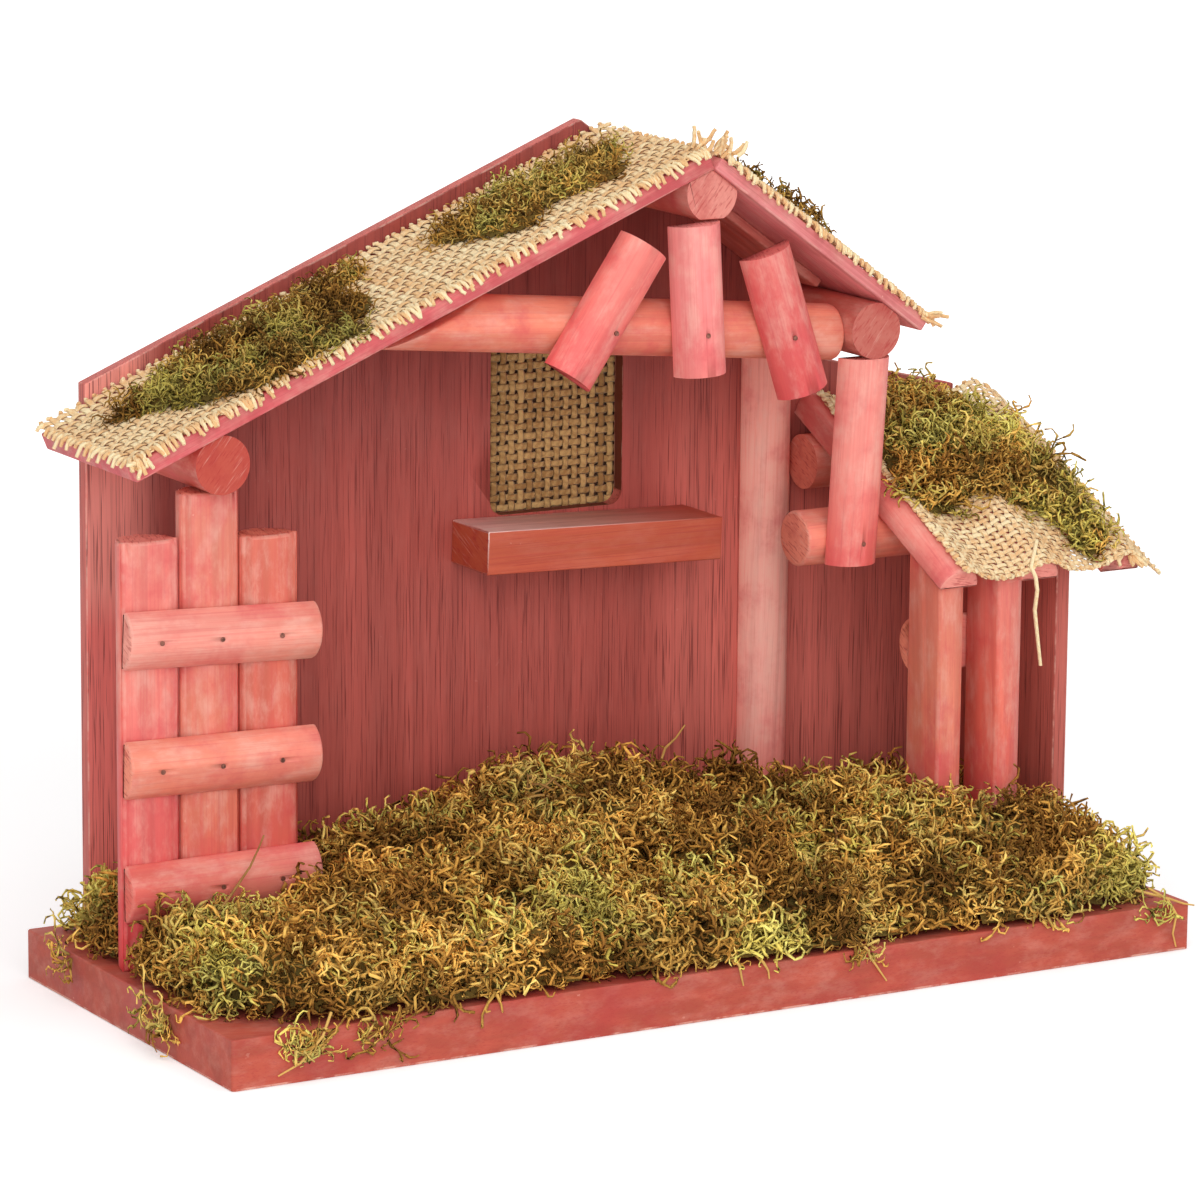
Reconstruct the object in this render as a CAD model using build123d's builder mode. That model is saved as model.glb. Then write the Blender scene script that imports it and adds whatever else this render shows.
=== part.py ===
"""Wooden nativity stable: a stained board base and back wall, a gabled roof and a
lean-to on split and round logs, burlap roof covers, a moss bed and moss tufts."""

import os
from math import cos, pi, radians, sin, tan

from build123d import *

os.makedirs("parts", exist_ok=True)

# Frame: millimetres, +X right, +Y to the back, +Z up.
# The origin is the centre of the base board's underside.
# Heights called "above the base" count from the base board's top face.

# Base board
base_length = 332.0
base_depth = 140.0
base_thickness = 15.0
base_edge_radius = 1.2

# Boards of the walls and roofs
wall_thickness = 5.0
roof_thickness = 5.5
right_roof_thickness = 4.3

# Back wall: a gable on the left, a lower part behind the lean-to on the right
wall_left_inset = 18.7
wall_right_inset = 2.5
wall_upstand = 7.0
right_wall_upstand = -3.6
lean_to_wall_upstand = 5.6
lean_to_wall_pitch = 13.2

# Window in the back wall and the shelf below it
window_from_ridge = 42.7
window_width = 47.5
window_sill_height = 114.5
window_height = 56.0
window_corner_radius = 4.5
shelf_from_ridge = 56.4
shelf_length = 84.0
shelf_depth = 24.0
shelf_thickness = 13.6
shelf_drop = 7.8
shelf_tilt = 1.7
shelf_edge_radius = 0.6

# Main roof: two boards that meet at the ridge, square to the back wall
left_eave_inset = 6.1
ridge_height = 228.3
left_pitch = 22.5
right_pitch = 36.0
roof_depth = 62.5

# Round logs that carry the main roof, from the wall to just behind the front edge
log_diameter = 17.6
log_front_setback = 1.5
log_flat = 0.4
ridge_log_drop = 7.6
ridge_log_flat = 0.8
left_log_from_eave = 27.2
right_log_from_eave = 13.4
roof_batten_width = 34.0
roof_batten_thickness = 3.0
roof_batten_gap = 1.0

# Tie beam under the gable, with its left end sawn parallel to the roof
tie_beam_from_wall = 48.3
tie_beam_drop = 2.2
tie_beam_tilt = 5.3
tie_beam_gap = 4.0

# Half-round logs nailed across the tie beam
gable_log_length = 46.5
gable_log_names = ("left", "middle", "right")
gable_log_lifts = (5.8, 10.4, 4.5)
gable_log_tilts = (34.3, -3.5, -18.3)

# Fence: a rod sawn off centre gives the posts behind and the rails in front
fence_log_diameter = 19.0
fence_log_split = 3.2
fence_setback = 79.0
fence_post_from_left = 13.9
fence_post_pitch = 19.6
fence_post_names = ("left", "middle", "right")
outer_post_heights = (129.0, 127.4)
fence_rail_length = 63.0
fence_rail_shift = 1.8
fence_rail_names = ("top", "middle", "bottom")
fence_rail_heights = (99.1, 61.0, 24.4)
fence_rail_tilts = (-2.2, -1.0, 0.5)

# Lean-to roof: half-round slats, sloping down from the back wall to the front
lean_to_side_overhang = 11.2
lean_to_slat_diameter = 14.2
lean_to_slat_names = ("left", "middle", "right")
lean_to_slat_setbacks = (0, 0, 12.0)
lean_to_height = 138.0
lean_to_pitch = 26.1
lean_to_length = 96.0
side_wall_depth = 69.0
front_log_from_wall = 43.5
front_log_reach = 26.5
back_log_post_gap = 0.8

# Lean-to posts, split like the fence posts with their flats to the left, the rail
# behind them, and the posts under the right eave log
lean_to_post_names = ("left", "right")
lean_to_post_inset = 1.6
lean_to_post_pitch = 21.9
lean_to_post_setback = 11.0
lean_to_rail_height = 74.0
wall_post_shift = 3.2
hanging_post_tilt = 3.3
hanging_post_overlap = 7.0

# Burlap
burlap_thickness = 1.8
burlap_inset = 1.0
lean_to_burlap_sag = 4.4
burlap_shoulder_angle = 45.0
burlap_skew = 38.0
lean_to_burlap_overhang = 3.5
lean_to_eave_overhang = 1.5
window_burlap_margin = 7.0

# Moss
moss_bed_height = 14.5
mound_diameter = 88.0
mound_height = 28.0
left_eave_moss_size = (84.0, 54.0, 8.5)
left_ridge_moss_size = (62.0, 44.0, 8.0)
right_roof_moss_size = (58.0, 32.0, 5.5)
lean_to_moss_size = (68.0, 52.0, 10.0)

# Nails
nail_diameter = 1.0
nail_head_diameter = 1.5
nail_head_thickness = 0.5
nail_head_sink = 0.4
nail_grip = 7.0

# Clearances: between seated pieces, and between moss and what it grows round
fit_gap = 0.1
moss_gap = 0.4

# Places along the base board, as shares of its length from the left
ridge_share = 0.6021
right_eave_share = 0.8304
lean_to_left_share = 0.809

# Places and outlines chosen by hand, as shares of the sizes that they follow
gable_log_shares = (-0.4736, -0.0488, 0.3615)
moss_bed_outline_shares = (
    (-0.47, -0.33),
    (-0.41, -0.44),
    (-0.28, -0.47),
    (-0.13, -0.44),
    (0.04, -0.47),
    (0.21, -0.45),
    (0.36, -0.47),
    (0.47, -0.42),
    (0.468, -0.12),
    (0.464, 0.2),
    (0.455, 0.43),
    (0.25, 0.45),
    (0.0, 0.446),
    (-0.25, 0.45),
    (-0.45, 0.44),
    (-0.482, 0.1),
)
mound_shares = (
    (-0.27, -0.16, 0.9),
    (-0.12, -0.1, 1.0),
    (0.08, -0.14, 1.0),
    (0.25, -0.12, 1.05),
    (0.37, -0.15, 0.85),
    (0.0, 0.16, 1.3),
    (0.16, 0.14, 1.0),
    (-0.17, 0.13, 1.0),
)
lump_outline_shares = (1.0, 0.84, 0.97, 0.8, 0.94, 1.0, 0.86, 0.98, 0.8, 0.92, 0.88, 0.98)
lump_level_shares = ((0, 1.0), (0.55, 0.8), (1.0, 0.4))
left_eave_moss_place_shares = (0.73, 0.46)
left_ridge_moss_place_shares = (0.2, 0.44)
right_roof_moss_place_shares = (0.5, 0.62)
lean_to_moss_place_shares = (0.53, 0.38)

# Places worked out from the sizes
base_left = -base_length / 2
base_front = -base_depth / 2
base_back = base_depth / 2
base_top = base_thickness
wall_front = base_back - wall_thickness
roof_front = wall_front - roof_depth
log_radius = log_diameter / 2
ridge_x = base_left + base_length * ridge_share
ridge_z = base_top + ridge_height
left_slope = radians(left_pitch)
right_slope = radians(right_pitch)
lean_to_slope = radians(lean_to_pitch)
left_run = base_length * ridge_share - left_eave_inset
right_run = base_length * (right_eave_share - ridge_share)
left_roof_length = left_run / cos(left_slope)
right_roof_length = right_run / cos(right_slope)
lean_to_left = base_left + base_length * lean_to_left_share
lean_to_width = base_length / 2 + lean_to_side_overhang - lean_to_left
back_face = Plane.XZ.offset(-base_back)
front_face = Plane.XZ.offset(-wall_front)


def save(piece, name):
    """Label a finished piece and write it to its own file."""
    piece.part.label = name
    export_step(piece.part, f"parts/{name}.step")


def on_left_roof(down, lift):
    """X and Z of a point: distance down the left slope, height above its underside."""
    x = ridge_x - down * cos(left_slope) - lift * sin(left_slope)
    z = ridge_z - down * sin(left_slope) + lift * cos(left_slope)
    return x, z


def on_right_roof(down, lift):
    """X and Z of a point: distance down the right slope, height above its underside."""
    x = ridge_x + down * cos(right_slope) + lift * sin(right_slope)
    z = ridge_z - down * sin(right_slope) + lift * cos(right_slope)
    return x, z


def on_lean_to(down, lift):
    """Y and Z of a point: distance down the lean-to, height above its underside."""
    y = wall_front - down * cos(lean_to_slope) - lift * sin(lean_to_slope)
    z = base_top + lean_to_height - down * sin(lean_to_slope) + lift * cos(lean_to_slope)
    return y, z


def under_lean_to(y):
    """Height of the lean-to board's underside at a depth y."""
    return base_top + lean_to_height - (wall_front - y) * tan(lean_to_slope)


def dressed_log(centre, seat, seat_pitch):
    """Section of a round log with a flat where it seats under a sloping board."""
    with Locations(centre):
        Circle(log_radius)
    with Locations(seat):
        Rectangle(
            2 * log_diameter,
            log_diameter,
            rotation=seat_pitch,
            align=(Align.CENTER, Align.MIN),
            mode=Mode.SUBTRACT,
        )


def split_log(radius, centre_offset, round_side):
    """Section of a split log: the flat lies on local X, the round side is +Y or -Y."""
    with Locations((0, centre_offset)):
        Circle(radius)
    side_align = Align.MIN if round_side > 0 else Align.MAX
    Rectangle(4 * radius, 4 * radius, align=(Align.CENTER, side_align), mode=Mode.INTERSECT)


def leaning_plane(x, y, z, tilt):
    """Plane across a log that leans sideways: local Z along the log, local Y to the back."""
    lean = radians(tilt)
    return Plane(origin=(x, y, z), x_dir=(cos(lean), 0, -sin(lean)), z_dir=(sin(lean), 0, cos(lean)))


def lump_outline(length, width, size_share, level):
    """Corners of an uneven oval at one level of a lump of moss."""
    count = len(lump_outline_shares)
    points = []
    for index, reach_share in enumerate(lump_outline_shares):
        angle = 2 * pi * index / count
        x = length / 2 * reach_share * size_share * cos(angle)
        y = width / 2 * reach_share * size_share * sin(angle)
        points.append((x, y, level))
    return points


def lump(length, width, height):
    """A lump of moss with plane facets, standing on the XY plane."""
    rings = [lump_outline(length, width, share, height * rise) for rise, share in lump_level_shares]
    facets = [Face(Wire.make_polygon(rings[0])), Face(Wire.make_polygon(rings[-1]))]
    for lower, upper in zip(rings, rings[1:]):
        for i in range(len(lower)):
            facets.append(Face(Wire.make_polygon([lower[i - 1], lower[i], upper[i], upper[i - 1]])))
    return Solid(Shell(facets))


# Base board
with BuildPart() as base_board:
    with BuildSketch():
        Rectangle(base_length, base_depth)
    extrude(amount=base_thickness)
    fillet(base_board.edges().filter_by(Axis.Z), radius=base_edge_radius)
    fillet(base_board.faces().sort_by(Axis.Z)[-1].edges(), radius=base_edge_radius / 2)
save(base_board, "base_board")

# Back wall with its window
wall_left = base_left + wall_left_inset
wall_right = base_length / 2 - wall_right_inset
wall_lift = roof_thickness + wall_upstand
right_wall_lift = right_roof_thickness + right_wall_upstand
left_wall_top = ridge_z - (ridge_x - wall_left) * tan(left_slope) + wall_lift / cos(left_slope)
ridge_turn = left_slope + right_slope
peak_down = (wall_lift * cos(ridge_turn) - right_wall_lift) / sin(ridge_turn)
gable_peak = on_left_roof(peak_down, wall_lift)
gable_end = on_right_roof(right_roof_length, right_wall_lift)
lean_to_wall_top = base_top + lean_to_height + lean_to_wall_upstand
gable_foot_rise = (wall_right - gable_end[0]) * tan(radians(lean_to_wall_pitch))
window_left = ridge_x - window_from_ridge
window_centre_x = window_left + window_width / 2
window_centre_z = base_top + window_sill_height + window_height / 2
with BuildPart() as back_wall:
    with BuildSketch(back_face):
        with BuildLine():
            Polyline(
                (wall_left, base_top),
                (wall_right, base_top),
                (wall_right, lean_to_wall_top),
                (gable_end[0], lean_to_wall_top + gable_foot_rise),
                gable_end,
                gable_peak,
                (wall_left, left_wall_top),
                close=True,
            )
        make_face()
        with Locations((window_centre_x, window_centre_z)):
            RectangleRounded(window_width, window_height, window_corner_radius, mode=Mode.SUBTRACT)
    extrude(amount=wall_thickness)
save(back_wall, "back_wall")

# Shelf nailed to the wall below the window
shelf_place = (
    ridge_x - shelf_from_ridge + shelf_length / 2,
    base_top + window_sill_height - shelf_drop,
)
with BuildPart() as window_shelf:
    with BuildSketch(front_face):
        with Locations(shelf_place):
            Rectangle(shelf_length, shelf_thickness, rotation=-shelf_tilt)
    extrude(amount=shelf_depth)
    fillet(window_shelf.faces().sort_by(Axis.Y)[0].edges(), radius=shelf_edge_radius)
save(window_shelf, "window_shelf")

# Main roof boards: square ends that meet edge to edge at the ridge
with BuildPart() as left_roof_board:
    with BuildSketch(front_face):
        with BuildLine():
            Polyline(
                on_left_roof(left_roof_length, 0),
                on_left_roof(0, 0),
                on_left_roof(0, roof_thickness),
                on_left_roof(left_roof_length, roof_thickness),
                close=True,
            )
        make_face()
    extrude(amount=roof_depth)
save(left_roof_board, "left_roof_board")

with BuildPart() as right_roof_board:
    with BuildSketch(front_face):
        with BuildLine():
            Polyline(
                on_right_roof(right_roof_length, 0),
                on_right_roof(0, 0),
                on_right_roof(0, right_roof_thickness),
                on_right_roof(right_roof_length, right_roof_thickness),
                close=True,
            )
        make_face()
    extrude(amount=roof_depth)
save(right_roof_board, "right_roof_board")

# Round logs under the main roof
seat_lift = log_flat - log_radius
roof_log_length = roof_depth - log_front_setback
left_log_down = left_roof_length - left_log_from_eave
right_log_down = right_roof_length - right_log_from_eave
left_log_centre = on_left_roof(left_log_down, seat_lift)
right_log_centre = on_right_roof(right_log_down, seat_lift)
with BuildPart() as left_eave_log:
    with BuildSketch(front_face):
        dressed_log(left_log_centre, on_left_roof(left_log_down, 0), left_pitch)
    extrude(amount=roof_log_length)
save(left_eave_log, "left_eave_log")

with BuildPart() as right_eave_log:
    with BuildSketch(front_face):
        dressed_log(right_log_centre, on_right_roof(right_log_down, 0), -right_pitch)
    extrude(amount=roof_log_length)
save(right_eave_log, "right_eave_log")

ridge_log_z = ridge_z - ridge_log_drop
ridge_log_bottom = ridge_log_z - log_radius + ridge_log_flat
with BuildPart() as ridge_log:
    with BuildSketch(front_face):
        dressed_log((ridge_x, ridge_log_z), (ridge_x, ridge_z), left_pitch)
        with Locations((ridge_x, ridge_z)):
            Rectangle(
                2 * log_diameter,
                log_diameter,
                rotation=-right_pitch,
                align=(Align.CENTER, Align.MIN),
                mode=Mode.SUBTRACT,
            )
        with Locations((ridge_x, ridge_log_bottom)):
            Rectangle(
                log_diameter,
                log_radius,
                align=(Align.CENTER, Align.MAX),
                mode=Mode.SUBTRACT,
            )
    extrude(amount=roof_log_length)
save(ridge_log, "ridge_log")

# Batten under the right roof board, between the ridge log and the right eave log
batten_top = ridge_log_drop + log_diameter
batten_end = right_log_down - log_radius - roof_batten_gap
with BuildPart() as right_roof_batten:
    with BuildSketch(front_face):
        with BuildLine():
            Polyline(
                on_right_roof(batten_top, 0),
                on_right_roof(batten_end, 0),
                on_right_roof(batten_end, -roof_batten_thickness),
                on_right_roof(batten_top, -roof_batten_thickness),
                close=True,
            )
        make_face()
    extrude(amount=roof_batten_width)
save(right_roof_batten, "right_roof_batten")

# Nails through the gable logs into the tie beam
tie_lean = radians(tie_beam_tilt)
tie_y = wall_front - tie_beam_from_wall
gable_flat_y = tie_y - log_radius - fit_gap
gable_crest_y = gable_flat_y - log_radius


def tie_beam_z(x):
    """Height of the tie beam's axis at a place x along it."""
    return right_log_centre[1] - tie_beam_drop + (right_log_centre[0] - x) * tan(tie_lean)


gable_log_xs = [ridge_x + right_run * share for share in gable_log_shares]
gable_nail_places = [(x, tie_beam_z(x)) for x in gable_log_xs]
with BuildPart() as gable_nails:
    with BuildSketch(Plane.XZ.offset(-(gable_flat_y + nail_grip))):
        with Locations(gable_nail_places):
            Circle(nail_diameter / 2)
    extrude(amount=nail_grip + log_radius - nail_head_sink)
    with BuildSketch(Plane.XZ.offset(-(gable_crest_y + nail_head_sink))):
        with Locations(gable_nail_places):
            Circle(nail_head_diameter / 2)
    extrude(amount=nail_head_thickness)
save(gable_nails, "gable_nails")

# Tie beam: from the side of the right eave log up to the left, under the left roof
tie_right = right_log_centre[0] - log_radius - fit_gap
tie_span = (right_log_centre[0] - base_left) / cos(tie_lean)
tie_end = on_left_roof(0, -tie_beam_gap)
with BuildPart() as tie_beam:
    with BuildSketch(
        Plane(
            origin=(right_log_centre[0], tie_y, tie_beam_z(right_log_centre[0])),
            x_dir=(0, 1, 0),
            z_dir=(-cos(tie_lean), 0, sin(tie_lean)),
        )
    ):
        Circle(log_radius)
    extrude(amount=tie_span)
    split(bisect_by=Plane(origin=(tie_right, tie_y, 0), z_dir=(-1, 0, 0)), keep=Keep.TOP)
    split(
        bisect_by=Plane(
            origin=(tie_end[0], tie_y, tie_end[1]),
            x_dir=(0, 1, 0),
            z_dir=(-sin(left_slope), 0, cos(left_slope)),
        ),
        keep=Keep.BOTTOM,
    )
    add(gable_nails.part, mode=Mode.SUBTRACT)
save(tie_beam, "tie_beam")

# Gable logs: half rounds with their flats on the tie beam
for name, x, lift, tilt in zip(gable_log_names, gable_log_xs, gable_log_lifts, gable_log_tilts):
    with BuildPart() as gable_log:
        with BuildSketch(leaning_plane(x, gable_flat_y, tie_beam_z(x) + lift, tilt)):
            split_log(log_radius, 0, -1)
        extrude(amount=gable_log_length / 2, both=True)
        split(bisect_by=Plane.XY.offset(ridge_log_bottom - fit_gap), keep=Keep.BOTTOM)
        add(gable_nails.part, mode=Mode.SUBTRACT)
    save(gable_log, f"gable_log_{name}")

# Fence: nails, posts and rails share the sawn face of the rods
fence_y = base_front + fence_setback
fence_radius = fence_log_diameter / 2
fence_crest_y = fence_y - fence_radius + fence_log_split
fence_post_xs = [base_left + fence_post_from_left + i * fence_post_pitch for i in range(3)]
fence_rail_x = fence_post_xs[1] + fence_rail_shift
nail_places = []
for height, tilt in zip(fence_rail_heights, fence_rail_tilts):
    for x in fence_post_xs:
        nail_places.append((x, base_top + height + (x - fence_rail_x) * tan(radians(tilt))))
with BuildPart() as fence_nails:
    with BuildSketch(Plane.XZ.offset(-(fence_y + nail_grip))):
        with Locations(nail_places):
            Circle(nail_diameter / 2)
    extrude(amount=nail_grip + fence_y - fence_crest_y - nail_head_sink)
    with BuildSketch(Plane.XZ.offset(-(fence_crest_y + nail_head_sink))):
        with Locations(nail_places):
            Circle(nail_head_diameter / 2)
    extrude(amount=nail_head_thickness)
save(fence_nails, "fence_nails")

middle_post_height = left_log_centre[1] - log_radius - fit_gap - base_top
fence_post_heights = (outer_post_heights[0], middle_post_height, outer_post_heights[1])
for name, x, height in zip(fence_post_names, fence_post_xs, fence_post_heights):
    with BuildPart() as fence_post:
        with BuildSketch(Plane(origin=(x, fence_y, base_top))):
            split_log(fence_radius, fence_log_split, 1)
        extrude(amount=height)
        add(fence_nails.part, mode=Mode.SUBTRACT)
    save(fence_post, f"fence_post_{name}")

for name, height, tilt in zip(fence_rail_names, fence_rail_heights, fence_rail_tilts):
    with BuildPart() as fence_rail:
        with BuildSketch(leaning_plane(fence_rail_x, fence_y, base_top + height, 90 - tilt)):
            split_log(fence_radius, fence_log_split, -1)
        extrude(amount=fence_rail_length / 2, both=True)
        add(fence_nails.part, mode=Mode.SUBTRACT)
    save(fence_rail, f"fence_rail_{name}")

# Post against the wall, under the right eave log
wall_post_x = right_log_centre[0] - wall_post_shift
with BuildPart() as wall_post:
    with BuildSketch(Plane(origin=(wall_post_x, wall_front, base_top))):
        split_log(log_radius, 0, -1)
    extrude(amount=right_log_centre[1] - log_radius - fit_gap - base_top)
save(wall_post, "wall_post")

# Lean-to slats: flats down, with plumb cuts against the wall, or a square cut short of it
slat_radius = lean_to_slat_diameter / 2
slat_pitch = (lean_to_width - lean_to_slat_diameter) / (len(lean_to_slat_names) - 1)
slat_offsets = [slat_radius + i * slat_pitch for i in range(len(lean_to_slat_names))]
lean_to_section = Plane(
    origin=(lean_to_left, wall_front, under_lean_to(wall_front)),
    x_dir=(1, 0, 0),
    z_dir=(0, -cos(lean_to_slope), -sin(lean_to_slope)),
)
for name, offset, setback in zip(lean_to_slat_names, slat_offsets, lean_to_slat_setbacks):
    slat_start = setback or -lean_to_slat_diameter
    with BuildPart() as lean_to_slat:
        with BuildSketch(lean_to_section.offset(slat_start)):
            with Locations((offset, 0)):
                split_log(slat_radius, 0, 1)
        extrude(amount=lean_to_length - slat_start)
        split(bisect_by=front_face, keep=Keep.TOP)
    save(lean_to_slat, f"lean_to_slat_{name}")

# Side wall of the lean-to, cut to the slope of its roof
side_wall_front = wall_front - side_wall_depth
with BuildPart() as lean_to_side_wall:
    with BuildSketch(Plane.YZ.offset(wall_right - wall_thickness)):
        with BuildLine():
            Polyline(
                (side_wall_front, base_top),
                (wall_front, base_top),
                (wall_front, under_lean_to(wall_front)),
                (side_wall_front, under_lean_to(side_wall_front)),
                close=True,
            )
        make_face()
    extrude(amount=wall_thickness)
save(lean_to_side_wall, "lean_to_side_wall")

# Round logs under the lean-to roof, butted against the side wall
seat_drop = (log_radius - log_flat) / cos(lean_to_slope)
log_end_x = wall_right - wall_thickness - fit_gap
front_log_y = wall_front - front_log_from_wall
front_log_z = under_lean_to(front_log_y) - seat_drop
front_log_left = lean_to_left - front_log_reach
hanging_flat_y = front_log_y - log_radius - fit_gap
hanging_crest_y = hanging_flat_y - log_radius
hanging_top = right_log_centre[1] - log_radius - fit_gap
hanging_bottom = front_log_z - hanging_post_overlap
hanging_middle = (hanging_top + hanging_bottom) / 2
hanging_lean = tan(radians(hanging_post_tilt))
hanging_x = right_log_centre[0] - (hanging_top - hanging_middle) * hanging_lean
nail_x = hanging_x - (hanging_middle - front_log_z) * hanging_lean
with BuildPart() as hanging_post_nail:
    with BuildSketch(Plane.XZ.offset(-(hanging_flat_y + nail_grip))):
        with Locations((nail_x, front_log_z)):
            Circle(nail_diameter / 2)
    extrude(amount=nail_grip + log_radius - nail_head_sink)
    with BuildSketch(Plane.XZ.offset(-(hanging_crest_y + nail_head_sink))):
        with Locations((nail_x, front_log_z)):
            Circle(nail_head_diameter / 2)
    extrude(amount=nail_head_thickness)
save(hanging_post_nail, "hanging_post_nail")

with BuildPart() as lean_to_log_front:
    with BuildSketch(Plane.YZ.offset(front_log_left)):
        dressed_log((front_log_y, front_log_z), (front_log_y, under_lean_to(front_log_y)), lean_to_pitch)
    extrude(amount=log_end_x - front_log_left)
    add(hanging_post_nail.part, mode=Mode.SUBTRACT)
save(lean_to_log_front, "lean_to_log_front")

back_log_y = wall_front - log_radius - fit_gap
back_log_left = wall_post_x + log_radius + back_log_post_gap
with BuildPart() as lean_to_log_back:
    with BuildSketch(Plane.YZ.offset(back_log_left)):
        dressed_log(
            (back_log_y, under_lean_to(back_log_y) - seat_drop),
            (back_log_y, under_lean_to(back_log_y)),
            lean_to_pitch,
        )
    extrude(amount=log_end_x - back_log_left)
save(lean_to_log_back, "lean_to_log_back")

# Post that hangs from the right eave log to the lean-to's front log
with BuildPart() as hanging_post:
    with BuildSketch(leaning_plane(hanging_x, hanging_flat_y, hanging_middle, hanging_post_tilt)):
        split_log(log_radius, 0, -1)
    extrude(amount=hanging_top - hanging_bottom, both=True)
    split(bisect_by=Plane.XY.offset(hanging_top), keep=Keep.BOTTOM)
    split(bisect_by=Plane.XY.offset(hanging_bottom), keep=Keep.TOP)
    add(hanging_post_nail.part, mode=Mode.SUBTRACT)
save(hanging_post, "hanging_post")

# Lean-to front posts, cut to the roof's slope, and the rail behind them
eave_y = on_lean_to(lean_to_length, 0)[0]
lean_to_post_y = eave_y + lean_to_post_setback
lean_to_post_xs = [
    lean_to_left + lean_to_post_inset + i * lean_to_post_pitch for i in range(len(lean_to_post_names))
]
for name, x in zip(lean_to_post_names, lean_to_post_xs):
    with BuildPart() as lean_to_post:
        with BuildSketch(Plane(origin=(x, lean_to_post_y, base_top), x_dir=(0, -1, 0), z_dir=(0, 0, 1))):
            split_log(fence_radius, fence_log_split, 1)
        extrude(amount=lean_to_height)
        split(
            bisect_by=Plane(
                origin=(x, lean_to_post_y, under_lean_to(lean_to_post_y)),
                x_dir=(1, 0, 0),
                z_dir=(0, -sin(lean_to_slope), cos(lean_to_slope)),
            ),
            keep=Keep.BOTTOM,
        )
    save(lean_to_post, f"lean_to_post_{name}")

lean_to_rail_x = lean_to_post_xs[0] + fence_log_split
lean_to_rail_y = lean_to_post_y + fence_radius + fit_gap
with BuildPart() as lean_to_rail:
    with BuildSketch(leaning_plane(lean_to_rail_x, lean_to_rail_y, base_top + lean_to_rail_height, 90)):
        split_log(log_radius, 0, 1)
    extrude(amount=lean_to_post_pitch)
save(lean_to_rail, "lean_to_rail")

# Burlap covers on the roof boards
burlap_lift = roof_thickness + burlap_thickness
burlap_depth = roof_depth - 2 * burlap_inset
burlap_face = Plane.XZ.offset(-(wall_front - burlap_inset))
right_burlap_lift = right_roof_thickness + burlap_thickness
with BuildPart() as left_roof_burlap:
    with BuildSketch(burlap_face):
        with BuildLine():
            Polyline(
                on_left_roof(left_roof_length - burlap_inset, roof_thickness),
                on_left_roof(0, roof_thickness),
                on_left_roof(0, burlap_lift),
                on_left_roof(left_roof_length - burlap_inset, burlap_lift),
                close=True,
            )
        make_face()
    extrude(amount=burlap_depth)
save(left_roof_burlap, "left_roof_burlap")

with BuildPart() as right_roof_burlap:
    with BuildSketch(burlap_face):
        with BuildLine():
            Polyline(
                on_right_roof(right_roof_length - burlap_inset, right_roof_thickness),
                on_right_roof(0, right_roof_thickness),
                on_right_roof(0, right_burlap_lift),
                on_right_roof(right_roof_length - burlap_inset, right_burlap_lift),
                close=True,
            )
        make_face()
    extrude(amount=burlap_depth)
save(right_roof_burlap, "right_roof_burlap")

# The lean-to's burlap lies over the slats and sags between them, and is cut askew
# where the right slat stops short of the wall
def burlap_line(lift):
    """Draws the sheet's section over the slats, at a height above its underside."""
    reach = slat_radius + fit_gap + lift
    shoulder = reach * sin(radians(burlap_shoulder_angle))
    rise = reach * cos(radians(burlap_shoulder_angle))
    low = slat_radius - lean_to_burlap_sag + lift
    for offset in slat_offsets:
        ThreePointArc((offset - shoulder, rise), (offset, reach), (offset + shoulder, rise))
    for offset, following in zip(slat_offsets, slat_offsets[1:]):
        middle = (offset + following) / 2
        ThreePointArc((offset + shoulder, rise), (middle, low), (following - shoulder, rise))
    Line((slat_offsets[-1] + shoulder, rise), (lean_to_width + lean_to_burlap_overhang, low))
    return (slat_offsets[0] - shoulder, rise), (lean_to_width + lean_to_burlap_overhang, low)


with BuildPart() as lean_to_burlap:
    with BuildSketch(lean_to_section.offset(-lean_to_slat_diameter)):
        with BuildLine():
            lower_ends = burlap_line(0)
            upper_ends = burlap_line(burlap_thickness)
            Line(lower_ends[0], upper_ends[0])
            Line(lower_ends[1], upper_ends[1])
        make_face()
    extrude(amount=lean_to_slat_diameter + lean_to_length + lean_to_eave_overhang)
    split(bisect_by=front_face, keep=Keep.TOP)
    split(
        bisect_by=Plane(
            origin=(wall_right, wall_front, 0),
            x_dir=(0, 0, 1),
            z_dir=(-sin(radians(burlap_skew)), -cos(radians(burlap_skew)), 0),
        ),
        keep=Keep.TOP,
    )
save(lean_to_burlap, "lean_to_burlap")

# Burlap glued over the window from behind
with BuildPart() as window_burlap:
    with BuildSketch(back_face):
        with Locations((window_centre_x, window_centre_z)):
            Rectangle(window_width + 2 * window_burlap_margin, window_height + 2 * window_burlap_margin)
    extrude(amount=-burlap_thickness)
save(window_burlap, "window_burlap")

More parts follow.
